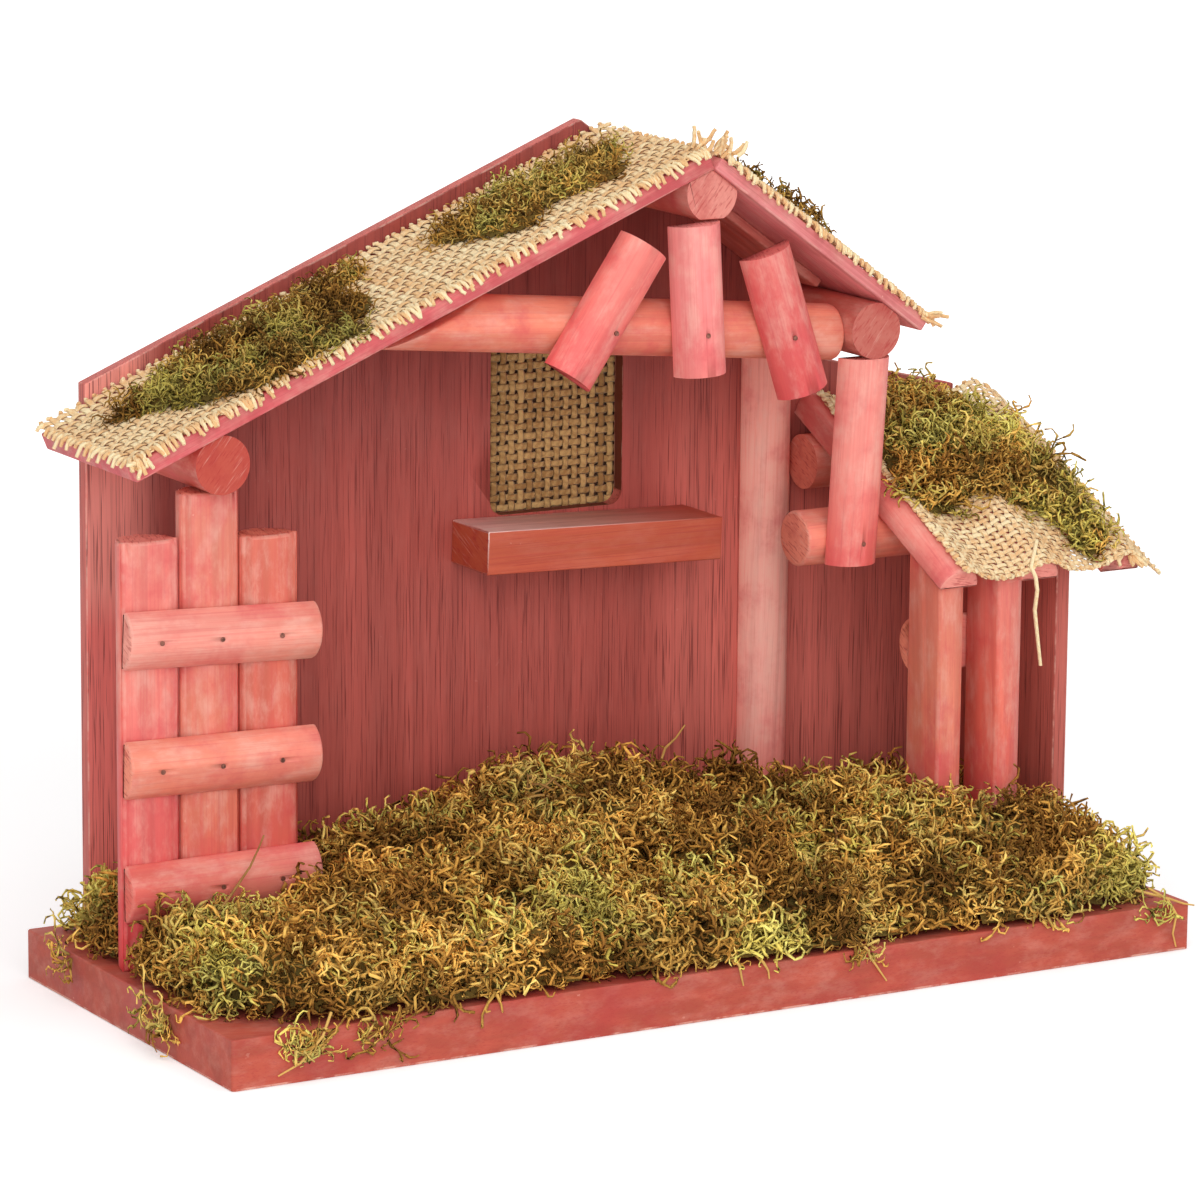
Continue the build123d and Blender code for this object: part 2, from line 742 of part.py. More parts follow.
# Moss bed on the base board, with mounds, and pockets round what stands in it
with BuildPart() as moss_bed:
    with BuildSketch(Plane.XY.offset(base_top)):
        with BuildLine():
            Polyline(
                *[(base_length * x, base_depth * y) for x, y in moss_bed_outline_shares],
                close=True,
            )
        make_face()
    extrude(amount=moss_bed_height)
    for x_share, y_share, mound_share in mound_shares:
        mound_size = mound_diameter * mound_share
        with Locations((base_length * x_share, base_depth * y_share, base_top)):
            add(lump(mound_size, mound_size, mound_height * mound_share))
    with BuildSketch(Plane.XY.offset(base_top)):
        with Locations([(x, fence_y + fence_log_split) for x in fence_post_xs]):
            Circle(fence_radius + moss_gap)
        with Locations([(x + fence_log_split, lean_to_post_y) for x in lean_to_post_xs]):
            Circle(fence_radius + moss_gap)
        with Locations((wall_post_x, wall_front)):
            Circle(log_radius + moss_gap)
        with Locations((wall_right - wall_thickness - moss_gap, side_wall_front - moss_gap)):
            Rectangle(base_length, base_depth, align=(Align.MIN, Align.MIN))
        with Locations((0, wall_front - moss_gap)):
            Rectangle(2 * base_length, base_depth, align=(Align.CENTER, Align.MIN))
    extrude(amount=2 * mound_height, mode=Mode.SUBTRACT)
save(moss_bed, "moss_bed")


def place_on(point, y, along, normal):
    """Plane on a sloping cover: local X along it, local Z away from it."""
    return Plane(origin=(point[0], y, point[1]), x_dir=along, z_dir=normal)


# Moss tufts on the burlap
left_eave_down = left_roof_length * left_eave_moss_place_shares[0]
left_ridge_down = left_roof_length * left_ridge_moss_place_shares[0]
right_down = right_roof_length * right_roof_moss_place_shares[0]
left_along = (cos(left_slope), 0, sin(left_slope))
left_normal = (-sin(left_slope), 0, cos(left_slope))
right_along = (cos(right_slope), 0, -sin(right_slope))
right_normal = (sin(right_slope), 0, cos(right_slope))
lean_to_place = on_lean_to(
    lean_to_length * lean_to_moss_place_shares[1], slat_radius + fit_gap + burlap_thickness
)
lean_to_moss_x = lean_to_left + lean_to_width * lean_to_moss_place_shares[0]
tufts = {
    "left_eave_moss": (
        place_on(
            on_left_roof(left_eave_down, burlap_lift),
            roof_front + roof_depth * left_eave_moss_place_shares[1],
            left_along,
            left_normal,
        ),
        left_eave_moss_size,
    ),
    "left_ridge_moss": (
        place_on(
            on_left_roof(left_ridge_down, burlap_lift),
            roof_front + roof_depth * left_ridge_moss_place_shares[1],
            left_along,
            left_normal,
        ),
        left_ridge_moss_size,
    ),
    "right_roof_moss": (
        place_on(
            on_right_roof(right_down, right_burlap_lift),
            roof_front + roof_depth * right_roof_moss_place_shares[1],
            right_along,
            right_normal,
        ),
        right_roof_moss_size,
    ),
    "lean_to_moss": (
        Plane(
            origin=(lean_to_moss_x, lean_to_place[0], lean_to_place[1]),
            x_dir=(1, 0, 0),
            z_dir=(0, -sin(lean_to_slope), cos(lean_to_slope)),
        ),
        lean_to_moss_size,
    ),
}
for name, (cover, (length, width, height)) in tufts.items():
    with BuildPart() as tuft:
        with Locations(cover):
            add(lump(length, width, height))
    save(tuft, name)
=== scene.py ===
import math
import random
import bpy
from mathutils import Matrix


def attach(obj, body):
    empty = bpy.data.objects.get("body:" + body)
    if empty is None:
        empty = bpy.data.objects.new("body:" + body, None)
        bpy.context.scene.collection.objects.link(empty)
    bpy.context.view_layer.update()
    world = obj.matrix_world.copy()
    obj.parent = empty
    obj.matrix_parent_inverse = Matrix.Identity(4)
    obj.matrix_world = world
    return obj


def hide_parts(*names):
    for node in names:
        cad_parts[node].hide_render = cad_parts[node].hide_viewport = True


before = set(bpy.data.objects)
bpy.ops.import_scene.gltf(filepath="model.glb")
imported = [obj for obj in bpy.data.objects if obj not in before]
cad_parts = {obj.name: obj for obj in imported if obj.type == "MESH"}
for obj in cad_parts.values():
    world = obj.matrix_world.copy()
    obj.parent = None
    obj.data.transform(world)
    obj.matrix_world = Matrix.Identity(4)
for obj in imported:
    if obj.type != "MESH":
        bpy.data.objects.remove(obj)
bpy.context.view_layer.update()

import zlib
from collections import namedtuple

import bmesh
import bpy
import numpy as np
from mathutils import Matrix, Vector, noise
from mathutils.bvhtree import BVHTree

bl_info = {
    "name": "Wooden nativity stable",
    "version": (1, 0, 0),
    "blender": (4, 5, 0),
    "location": "View3D > Sidebar > Stable",
    "description": "Stained wood, woven burlap, moss and the stage of a small wooden stable",
    "category": "Object",
}

MM = 0.001
EAST = Vector((1, 0, 0))
NORTH = Vector((0, 1, 0))
UP = Vector((0, 0, 1))


def srgb(*levels):
    """A colour as it is read off a picture, in the linear values that Blender uses."""
    shares = [level / 255 for level in levels]
    return tuple(share / 12.92 if share <= 0.04045 else ((share + 0.055) / 1.055) ** 2.4 for share in shares)


def rgba(colour):
    """A colour that is not see-through, as a node socket takes it."""
    return (*colour, 1)


def colour_property(label, words, default):
    """A colour that a user may change."""
    return bpy.props.FloatVectorProperty(
        name=label, description=words, default=default, min=0, max=1, size=3, subtype="COLOR"
    )


def number_property(label, words, default, least=0, **options):
    """A number that a user may change."""
    return bpy.props.FloatProperty(name=label, description=words, default=default, min=least, **options)


def length_property(label, words, default):
    """A length in metres that a user may change."""
    return number_property(label, words, default, unit="LENGTH", subtype="DISTANCE", precision=5)


class StableWood(bpy.types.PropertyGroup):
    """Finish of the boards and logs"""

    edge_ease: length_property("Edge ease", "Width of the rubbed edges", 0.6 * MM)
    deep_stain: colour_property("Deep stain", "Where the red stain has pooled", srgb(176, 52, 52))
    wall_stain: colour_property("Wall grain", "Dark lines of the wall board's grain", srgb(108, 30, 27))
    log_stain: colour_property("Log stain", "Red blotches on the logs", srgb(218, 76, 84))
    bare_wood: colour_property("Bare wood", "Rubbed edges and scuffs", srgb(244, 196, 178))
    nail_steel: colour_property("Nail steel", "Colour of the nail heads", srgb(150, 98, 84))


class StableBurlap(bpy.types.PropertyGroup):
    """Weave of the roof covers and of the cloth behind the window"""

    pitch: length_property("Pitch", "Distance from yarn to yarn", 3.1 * MM)
    yarn_width: length_property("Yarn width", "Width of a pressed yarn", 2.3 * MM)
    yarn_thickness: length_property("Yarn thickness", "Thickness of a pressed yarn", 0.58 * MM)
    pale_yarn: colour_property("Pale yarn", "The lightest jute", srgb(255, 234, 188))
    dark_yarn: colour_property("Dark yarn", "The darkest jute", srgb(238, 190, 134))
    window_pale: colour_property("Window pale yarn", "The lightest jute in the window", srgb(206, 166, 108))
    window_dark: colour_property("Window dark yarn", "The darkest jute in the window", srgb(158, 116, 68))


class StableMoss(bpy.types.PropertyGroup):
    """Fronds of the moss bed and of the tufts on the roofs"""

    frond_length: length_property("Frond length", "Length of a middling frond", 7.6 * MM)
    bed_count: number_property("Fronds on the bed", "Fronds on a square centimetre of the bed", 26.3, 1)
    tuft_count: number_property("Fronds on the tufts", "Fronds on a square centimetre of a tuft", 46.0, 1)
    seed: bpy.props.IntProperty(name="Seed", description="Another lie of the fronds", default=11, min=0)


class StableStage(bpy.types.PropertyGroup):
    """Floor and lights"""

    floor_colour: colour_property("Floor", "Colour of the floor", (0.94, 0.94, 0.94))
    floor_glow: number_property("Floor glow", "How far the floor is lifted to white", 0.34)
    key_power: number_property("Key light", "Power of the key light", 24.0, unit="POWER")
    top_power: number_property("Top light", "Power of the top light", 10.0, unit="POWER")
    fill_power: number_property("Fill light", "Power of the fill light", 3.0, unit="POWER")
    sky_light: number_property("Sky light", "Light from all round", 0.43)


# Where the boards lie, in metres: the same frame as the solids
RIDGE = Vector((33.9 * MM, 0, 243.3 * MM))
WALL_FRONT = 65.0 * MM
ROOF_FRONT = 2.5 * MM
LEFT_LENGTH = 209.8 * MM
LEFT_BOARD = 5.5 * MM
RIGHT_LENGTH = 93.7 * MM
RIGHT_BOARD = 4.3 * MM
LEAN_CORNER = Vector((102.6 * MM, WALL_FRONT, 153.0 * MM))
LEAN_LENGTH = 96.0 * MM
LEAN_SIDE_WALL = 158.1 * MM
LEAN_WALL_FRONT = -5.0 * MM
LEAN_WALL_TOP = 110.0 * MM
SLAT_OFFSETS = (7.1 * MM, 37.3 * MM, 67.5 * MM)
SLAT_RADIUS = 7.1 * MM
BASE_TOP = 15.0 * MM
BASE_FRONT = -70.0 * MM
BASE_DEPTH = 140.0 * MM
BASE_END = 166.0 * MM


class Slope:
    """A slanting plane: where it starts, and the ways along it, down it and up from it."""

    def __init__(self, start, along, way, degrees):
        angle = math.radians(degrees)
        self.start = start
        self.along = along
        self.down = way * math.cos(angle) - UP * math.sin(angle)
        self.up = way * math.sin(angle) + UP * math.cos(angle)

    def at(self, down, along, lift):
        """A point down the slope, along it and above it."""
        return self.start + self.down * down + self.along * along + self.up * lift


# The roofs start at the undersides of their boards, the lean-to at the flats of its slats
LEFT_ROOF = Slope(RIDGE, NORTH, -EAST, 22.5)
RIGHT_ROOF = Slope(RIDGE, NORTH, EAST, 36.0)
LEAN_TO = Slope(LEAN_CORNER, EAST, -NORTH, 26.1)


class Value:
    """One output of a node. The signs + - * / add a Math node each."""

    def __init__(self, nodes, socket):
        self.nodes = nodes
        self.socket = socket

    def __add__(self, other):
        return self.nodes.calc("ADD", self, other)

    def __sub__(self, other):
        return self.nodes.calc("SUBTRACT", self, other)

    def __mul__(self, other):
        return self.nodes.calc("MULTIPLY", self, other)

    def __truediv__(self, other):
        return self.nodes.calc("DIVIDE", self, other)


class Nodes:
    """A node tree that is being built."""

    def __init__(self, tree):
        self.tree = tree

    def fill(self, node, sockets):
        """Sets or links a node's inputs."""
        for key, value in sockets.items():
            if isinstance(value, Value):
                self.tree.links.new(value.socket, node.inputs[key])
            else:
                node.inputs[key].default_value = value

    def add(self, kind, sockets=None, **settings):
        """Adds a node, sets its options, then fills its inputs."""
        made = self.tree.nodes.new(kind)
        for key, value in settings.items():
            setattr(made, key, value)
        self.fill(made, sockets or {})
        return made

    def put(self, kind, sockets=None, out=0, **settings):
        """Adds a node and gives one of its outputs."""
        return Value(self, self.add(kind, sockets, **settings).outputs[out])

    def calc(self, operation, first, second=0.0, **settings):
        """Two numbers made into one."""
        return self.put("ShaderNodeMath", {0: first, 1: second}, operation=operation, **settings)

    def vector(self, operation, first, second):
        """Two vectors made into one."""
        return self.put("ShaderNodeVectorMath", {0: first, 1: second}, operation=operation)

    def scale(self, vector, size):
        """A vector or colour times a number."""
        return self.put("ShaderNodeVectorMath", {0: vector, 3: size}, operation="SCALE")

    def length(self, vector):
        """How long a vector is."""
        return self.put("ShaderNodeVectorMath", {0: vector}, "Value", operation="LENGTH")

    def ramp(self, value, low, high, out_low=0.0, out_high=1.0):
        """Maps a value smoothly from one range to another, and holds it there."""
        return self.put(
            "ShaderNodeMapRange",
            {"Value": value, "From Min": low, "From Max": high, "To Min": out_low, "To Max": out_high},
            interpolation_type="SMOOTHSTEP",
            clamp=True,
        )

    def blend(self, share, first, second):
        """Mixes two colours by a share."""
        return self.put("ShaderNodeMix", {0: share, 6: first, 7: second}, 2, data_type="RGBA")

    def clouds(self, place, scale, detail=3.0, rough=0.55, twist=0.0):
        """A noise whose places are stretched by scale, a number or one for each direction."""
        stretch = scale if isinstance(scale, tuple) else (scale, scale, scale)
        stretched = self.vector("MULTIPLY", place, stretch)
        return self.put(
            "ShaderNodeTexNoise",
            {"Vector": stretched, "Scale": 1.0, "Detail": detail, "Roughness": rough, "Distortion": twist},
        )

    def place(self):
        """Where a point of the piece is."""
        return self.put("ShaderNodeTexCoord", out="Object")

    def attribute(self, name, out="Fac"):
        """A named attribute of the piece."""
        return self.put("ShaderNodeAttribute", out=out, attribute_name=name, attribute_type="GEOMETRY")

    def bump(self, height, strength, distance):
        """A normal from a height."""
        return self.put("ShaderNodeBump", {"Strength": strength, "Distance": distance, "Height": height})

    def seen(self):
        """One for rays that come straight from the camera, a mirror or a glass, and nought for others."""
        path = self.add("ShaderNodeLightPath")
        rays = [Value(self, path.outputs[f"Is {name} Ray"]) for name in ("Camera", "Glossy", "Transmission")]
        return self.calc("MAXIMUM", self.calc("MAXIMUM", rays[0], rays[1]), rays[2])

    def store(self, geometry, name, value, domain="POINT"):
        """Keeps a number on the geometry under a name."""
        sockets = {"Geometry": geometry, "Name": name, "Value": value}
        return self.put("GeometryNodeStoreNamedAttribute", sockets, data_type="FLOAT", domain=domain)

    def named(self, name, kind):
        """What the geometry keeps under a name."""
        return self.put("GeometryNodeInputNamedAttribute", {"Name": name}, data_type=kind)

    def chance(self, kind, low, high, seed):
        """A random number or vector."""
        first, out = {"FLOAT_VECTOR": (0, 0), "FLOAT": (2, 1), "INT": (4, 2)}[kind]
        sockets = {first: low, first + 1: high, 8: seed}
        return self.put("FunctionNodeRandomValue", sockets, out, data_type=kind)

    def tube(self, curve, profile, size):
        """A closed tube along each curve."""
        sockets = {"Curve": curve, "Profile Curve": profile, "Scale": size, "Fill Caps": True}
        return self.put("GeometryNodeCurveToMesh", sockets)

    def smooth_mesh(self, geometry, material):
        """A plain smooth mesh of one material."""
        smooth = self.put("GeometryNodeSetShadeSmooth", {"Geometry": geometry})
        plain = self.put("GeometryNodeRealizeInstances", {"Geometry": smooth})
        return self.put("GeometryNodeSetMaterial", {"Geometry": plain, "Material": material})


def new_group(name, kind, inputs, outputs):
    """A node group with named sockets. An input is given as its default number or as its kind."""
    tree = bpy.data.node_groups.new(name, kind)
    for label, start in inputs.items():
        sort = start if isinstance(start, str) else type(start).__name__.capitalize()
        socket = tree.interface.new_socket(label, in_out="INPUT", socket_type=f"NodeSocket{sort}")
        if sort != start:
            socket.default_value = start
    for label, sort in outputs.items():
        tree.interface.new_socket(label, in_out="OUTPUT", socket_type=f"NodeSocket{sort}")
    nodes = Nodes(tree)
    given = {socket.name: Value(nodes, socket) for socket in tree.nodes.new("NodeGroupInput").outputs}
    return nodes, given, tree.nodes.new("NodeGroupOutput")


def new_material(name):
    """A node material, its nodes and its shader."""
    made = bpy.data.materials.new(name)
    made.use_nodes = True
    return made, Nodes(made.node_tree), made.node_tree.nodes["Principled BSDF"]


def stained_grain_group():
    """Red stain over straight grain: streaks, pores, growth bands and pooled blotches."""
    nodes, given, result = new_group(
        "Stained grain",
        "ShaderNodeTree",
        {
            "Grain": "Vector",
            "Stain": "Color",
            "Deep": "Color",
            "Pale": "Color",
            "Pores": 0.5,
            "Streaks": 0.5,
            "Blotches": 0.5,
            "Blotch scale": 40.0,
            "Dust": 0.3,
        },
        {"Color": "Color", "Roughness": "Float", "Height": "Float"},
    )
    grain = given["Grain"]
    deep = given["Deep"]
    streaks = nodes.clouds(grain, (16.0, 1300.0, 1300.0), 3.0, 0.6)
    pores = nodes.clouds(grain, (38.0, 2700.0, 2700.0), 2.0, 0.5)
    bands = nodes.clouds(grain, (5.0, 170.0, 170.0), 2.0, 0.5, 0.4)
    dusty = nodes.clouds(grain, (70.0, 160.0, 160.0), 5.0, 0.65)
    blotches = nodes.clouds(nodes.scale(grain, given["Blotch scale"]), 1.0, 5.0, 0.62)
    pore_mask = nodes.ramp(pores, 0.56, 0.68) * given["Pores"]
    streak_mask = nodes.ramp(streaks, 0.46, 0.72) * given["Streaks"]
    blotch_mask = nodes.ramp(blotches, 0.44, 0.74) * given["Blotches"]
    toned = nodes.scale(given["Stain"], nodes.ramp(bands, 0.3, 0.7, 0.88, 1.1))
    colour = nodes.blend(nodes.ramp(dusty, 0.42, 0.7) * given["Dust"], toned, given["Pale"])
    colour = nodes.blend(blotch_mask, colour, deep)
    colour = nodes.blend(streak_mask * 0.55, colour, deep)
    dark = nodes.vector("MULTIPLY", deep, (0.85, 0.8, 0.85))
    colour = nodes.blend(pore_mask * 0.8, colour, dark)
    roughness = nodes.ramp(blotches, 0.3, 0.7, 0.66, 0.5)
    nodes.fill(result, {"Color": colour, "Roughness": roughness, "Height": streaks * 0.6 - pore_mask * 0.8})
    return nodes.tree


def rubbed_edges_group():
    """Bare wood along rubbed edges, and a few scuffs elsewhere."""
    nodes, given, result = new_group(
        "Rubbed edges",
        "ShaderNodeTree",
        {"Place": "Vector", "Color": "Color", "Bare": "Color", "Edge": 0.0, "Rub": 0.6, "Scuffs": 0.3},
        {"Color": "Color"},
    )
    place = given["Place"]
    patches = nodes.ramp(nodes.clouds(place, 130.0, 4.0, 0.65), 0.42, 0.62)
    specks = nodes.ramp(nodes.clouds(place, 420.0, 2.0, 0.5), 0.72, 0.78)
    gate = nodes.ramp(nodes.clouds(place, 45.0, 2.0), 0.5, 0.62)
    edge = given["Edge"] * patches * given["Rub"]
    scuff = specks * gate * given["Scuffs"]
    mask = nodes.calc("MAXIMUM", edge, scuff, use_clamp=True)
    nodes.fill(result, {"Color": nodes.blend(mask, given["Color"], given["Bare"])})
    return nodes.tree


# Each wood: pores, streaks and blotches of its stain, size of a blotch, dust, rubbed edges and scuffs
WOODS = {
    "base board wood": (0.35, 0.5, 0.6, 34.0, 0.15, 0.55, 0.4),
    "wall wood": (0.9, 0.35, 0.0, 25.0, 0.02, 0.4, 0.1),
    "roof board wood": (0.3, 0.45, 0.5, 45.0, 0.35, 0.35, 0.8),
    "shelf wood": (0.4, 0.5, 0.3, 40.0, 0.06, 0.5, 0.2),
    "log wood": (0.22, 0.4, 0.7, 46.0, 0.4, 0.2, 0.4),
}


def wood_material(name, look, deep, relief=0.35):
    """Stained wood seen along the grain."""
    pores, streaks, blotches, blotch_scale, dust, rub, scuffs = WOODS[name]
    made, nodes, shader = new_material(name)
    grain = nodes.attribute("grain", "Vector")
    bare = rgba(look.bare_wood)
    sockets = {
        "Grain": grain,
        "Stain": nodes.attribute("stain", "Color"),
        "Deep": rgba(deep),
        "Pale": bare,
        "Pores": pores,
        "Streaks": streaks,
        "Blotches": blotches,
        "Blotch scale": blotch_scale,
        "Dust": dust,
    }
    tree = bpy.data.node_groups.get("Stained grain") or stained_grain_group()
    stained = nodes.add("ShaderNodeGroup", sockets, node_tree=tree)
    colour, roughness, height = (Value(nodes, socket) for socket in stained.outputs)
    edge = nodes.attribute("edge")
    sockets = {"Place": grain, "Color": colour, "Bare": bare, "Edge": edge, "Rub": rub, "Scuffs": scuffs}
    tree = bpy.data.node_groups.get("Rubbed edges") or rubbed_edges_group()
    rubbed = nodes.put("ShaderNodeGroup", sockets, node_tree=tree)
    normal = nodes.bump(height, relief, 0.25 * MM)
    sockets = {"Base Color": rubbed, "Roughness": roughness, "Normal": normal, "Specular IOR Level": 0.35}
    nodes.fill(shader, sockets)
    return made


def sawn_end_material(look):
    """End grain: faint rings, saw lines and red flecks."""
    made, nodes, shader = new_material("sawn log end")
    grain = nodes.attribute("grain", "Vector")
    stain = nodes.attribute("stain", "Color")
    deep = rgba(look.deep_stain)
    bare = rgba(look.bare_wood)
    away = nodes.length(nodes.vector("MULTIPLY", grain, (0, 1, 1)))
    rings = nodes.calc("SINE", away * 4200.0 + nodes.clouds(grain, 90.0, 2.0) * 9.0)
    saw = nodes.clouds(grain, (60.0, 1300.0, 110.0), 3.0, 0.6)
    flecks = nodes.ramp(nodes.clouds(grain, (900.0, 1500.0, 260.0), 2.0, 0.5), 0.54, 0.68)
    blotches = nodes.ramp(nodes.clouds(grain, 130.0, 4.0, 0.6), 0.42, 0.7)
    pale = nodes.vector("MULTIPLY", stain, (1.02, 1.12, 1.12))
    colour = nodes.blend(blotches * 0.4, pale, deep)
    colour = nodes.blend(nodes.ramp(rings, -0.2, 1.0, 0.0, 0.05), colour, deep)
    colour = nodes.blend(flecks * 0.55, colour, deep)
    colour = nodes.blend(nodes.ramp(saw, 0.55, 0.75, 0.0, 0.3), colour, bare)
    edge = nodes.attribute("edge") * nodes.ramp(blotches, 0.2, 0.8, 0.1, 0.35)
    colour = nodes.blend(edge, colour, bare)
    roughness = nodes.ramp(saw, 0.3, 0.7, 0.85, 0.7)
    normal = nodes.bump(saw, 0.5, 0.3 * MM)
    sockets = {"Base Color": colour, "Roughness": roughness, "Normal": normal, "Specular IOR Level": 0.25}
    nodes.fill(shader, sockets)
    return made


def finish_mesh(bm, name, materials):
    """Makes the piece's object from a bmesh, at the origin."""
    mesh = bpy.data.meshes.new(name)
    bm.to_mesh(mesh)
    bm.free()
    for material in materials:
        mesh.materials.append(material)
    piece = bpy.data.objects.new(name, mesh)
    bpy.context.scene.collection.objects.link(piece)
    return piece


def hand_over(piece, node=None):
    """Tells the frame a piece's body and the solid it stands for."""
    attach(piece, "root")
    if node:
        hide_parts(node)


def opened(mesh):
    """A mesh that can be worked on."""
    bm = bmesh.new()
    bm.from_mesh(mesh)
    return bm


def closed(bm, mesh):
    """Puts what was worked on back into its mesh."""
    bm.to_mesh(mesh)
    bm.free()
    mesh.update()


def all_of(bm):
    """Every point, edge and face."""
    return bm.verts[:] + bm.edges[:] + bm.faces[:]


# Points closer than these are one point: in the solids' own meshes, and in meshes that have been cut
SAME_POINT = 0.004 * MM
SAME_CUT = 0.01 * MM


def slice_along(bm, way, start, end, step):
    """Cuts a piece across a direction again and again, so that it has points on the way."""
    while start < end:
        bmesh.ops.bisect_plane(bm, geom=all_of(bm), plane_co=way * start, plane_no=way, dist=SAME_CUT)
        start += step


def grain_axis(bm):
    """The longest direction of a piece, pointing up or to the right."""
    areas = np.array([face.calc_area() for face in bm.faces])
    places = np.array([face.calc_center_median() for face in bm.faces])
    gaps = places - np.average(places, axis=0, weights=areas)
    moment = (gaps * areas[:, None]).T @ gaps
    axis = Vector(np.linalg.eigh(moment)[1][:, 2])
    if axis.dot(Vector((0.3, 0.1, 1.0))) < 0:
        axis = -axis
    return axis.normalized()


def stain_along(colours, share):
    """A stain at a share of a piece's length, from colours spread evenly along it."""
    places = np.linspace(0, 1, len(colours))
    return [np.interp(share, places, channel) for channel in zip(*colours)]


# Width of the strips that a fence post's bowed front is made of
BOW_STRIP = 1.6 * MM


def bow_front(bm):
    """Bows the flat front of a fence post, so that it falls away to both sides."""
    left = min(vert.co.x for vert in bm.verts)
    right = max(vert.co.x for vert in bm.verts)
    radius = (right - left) / 2
    slice_along(bm, EAST, left + BOW_STRIP, right - BOW_STRIP / 2, BOW_STRIP)
    heart = max(vert.co.y for vert in bm.verts) - radius
    flat = (heart - min(vert.co.y for vert in bm.verts)) / radius
    for vert in bm.verts:
        if vert.co.y < heart:
            share = min(abs(vert.co.x - left - radius) / radius, 1.0)
            vert.co.y = heart - (heart - vert.co.y) * max(math.sqrt(1 - share**2), flat)


# What counts as one flat face, as an edge to rub round, as a crease, and as a sawn end
FLAT_ANGLE = math.radians(0.6)
EDGE_ANGLE = math.radians(28)
EDGE_LENGTH = 0.7 * MM
CREASE_ANGLE = math.radians(35)
END_SHARE = 0.8


def wooden_piece(node, materials, stain, ease, axis=None, ring=None, across=None, bowed=False):
    """A wooden piece: the solid's own shape with rubbed edges, grain places and its stain, which on the wall
    and the shelf also holds painted light and shade.
    """
    bm = opened(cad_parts[node].data)
    bm.faces.layers.float.new("edge")
    bm.verts.layers.float_vector.new("grain")
    bm.verts.layers.float_color.new("stain")
    edge_layer = bm.faces.layers.float["edge"]
    grain_layer = bm.verts.layers.float_vector["grain"]
    stain_layer = bm.verts.layers.float_color["stain"]
    bmesh.ops.remove_doubles(bm, verts=bm.verts, dist=SAME_POINT)
    axis = axis or grain_axis(bm)
    bmesh.ops.dissolve_limit(
        bm, angle_limit=FLAT_ANGLE, verts=bm.verts, edges=bm.edges, use_dissolve_boundaries=False
    )
    if bowed:
        bow_front(bm)
    solid = [edge for edge in bm.edges if edge.is_manifold and edge.calc_length() > EDGE_LENGTH]
    sharp = [edge for edge in solid if edge.calc_face_angle(0) > EDGE_ANGLE]
    eased = bmesh.ops.bevel(
        bm,
        geom=sharp,
        offset=ease,
        offset_type="OFFSET",
        segments=2,
        profile=0.5,
        affect="EDGES",
        clamp_overlap=False,
    )
    for face in eased["faces"]:
        face[edge_layer] = 1.0
    bmesh.ops.remove_doubles(bm, verts=bm.verts, dist=SAME_CUT)
    bmesh.ops.dissolve_degenerate(bm, dist=SAME_CUT, edges=bm.edges)
    places = [vert.co.dot(axis) for vert in bm.verts]
    low, high = min(places), max(places)
    if ring:
        for way in filter(None, (axis, across)):
            reach = [vert.co.dot(way) for vert in bm.verts]
            slice_along(bm, way, min(reach) + ring, max(reach) - ring / 2, ring)
    for face in bm.faces:
        face.smooth = True
        face.normal_update()
        face.material_index = 1 if len(materials) > 1 and abs(face.normal.dot(axis)) > END_SHARE else 0
    side = axis.cross(Vector((0.31, 0.87, 0.38))).normalized()
    other = axis.cross(side)
    middle = sum((vert.co for vert in bm.verts), Vector()) / len(bm.verts)
    chance = random.Random(zlib.crc32(node.encode()))
    shift = Vector((chance.uniform(0, 3), chance.uniform(-0.002, 0.002), chance.uniform(-0.002, 0.002)))
    for vert in bm.verts:
        gap = vert.co - middle
        vert[grain_layer] = Vector((gap.dot(axis), gap.dot(side), gap.dot(other))) + shift
        share = (vert.co.dot(axis) - low) / (high - low)
        # The stain of the wall and of the shelf includes painted light and painted shade
        vert[stain_layer] = rgba(stain(vert.co) if callable(stain) else stain_along(stain, share))
    piece = finish_mesh(bm, f"{node}_wood", materials)
    piece.data.set_sharp_from_angle(angle=CREASE_ANGLE)
    hand_over(piece, node)


# The wall board: its back, how far inside its faces a cut edge counts, and the squares its stain and its
# painted light and shade are set on
WALL_BACK = 70.0 * MM
CUT_INSET = 0.2 * MM
WALL_CELL = 13 * MM

# The wall's colours: the window's edge, the part outside the fence that is painted paler as painted light,
# the painted shade that darkens the wall upwards and to the left under the roof, and the part behind the
# lean-to
WINDOW_LEFT = -12 * MM
WINDOW_RIGHT = 42 * MM
WINDOW_BOTTOM = 126 * MM
WINDOW_TOP = 189 * MM
OUTSIDE_END = -128 * MM
OUTSIDE_PAINTED_LIGHT_ABOVE = 110 * MM
PAINTED_SHADE_BOTTOM = 120 * MM
PAINTED_SHADE_HEIGHT = 60 * MM
PAINTED_SHADE_RIGHT = -60 * MM
PAINTED_SHADE_WIDTH = 40 * MM
LEAN_WALL_LEFT = 55 * MM

# What is higher than this is the shelf's top
SHELF_TOP = 129.5 * MM


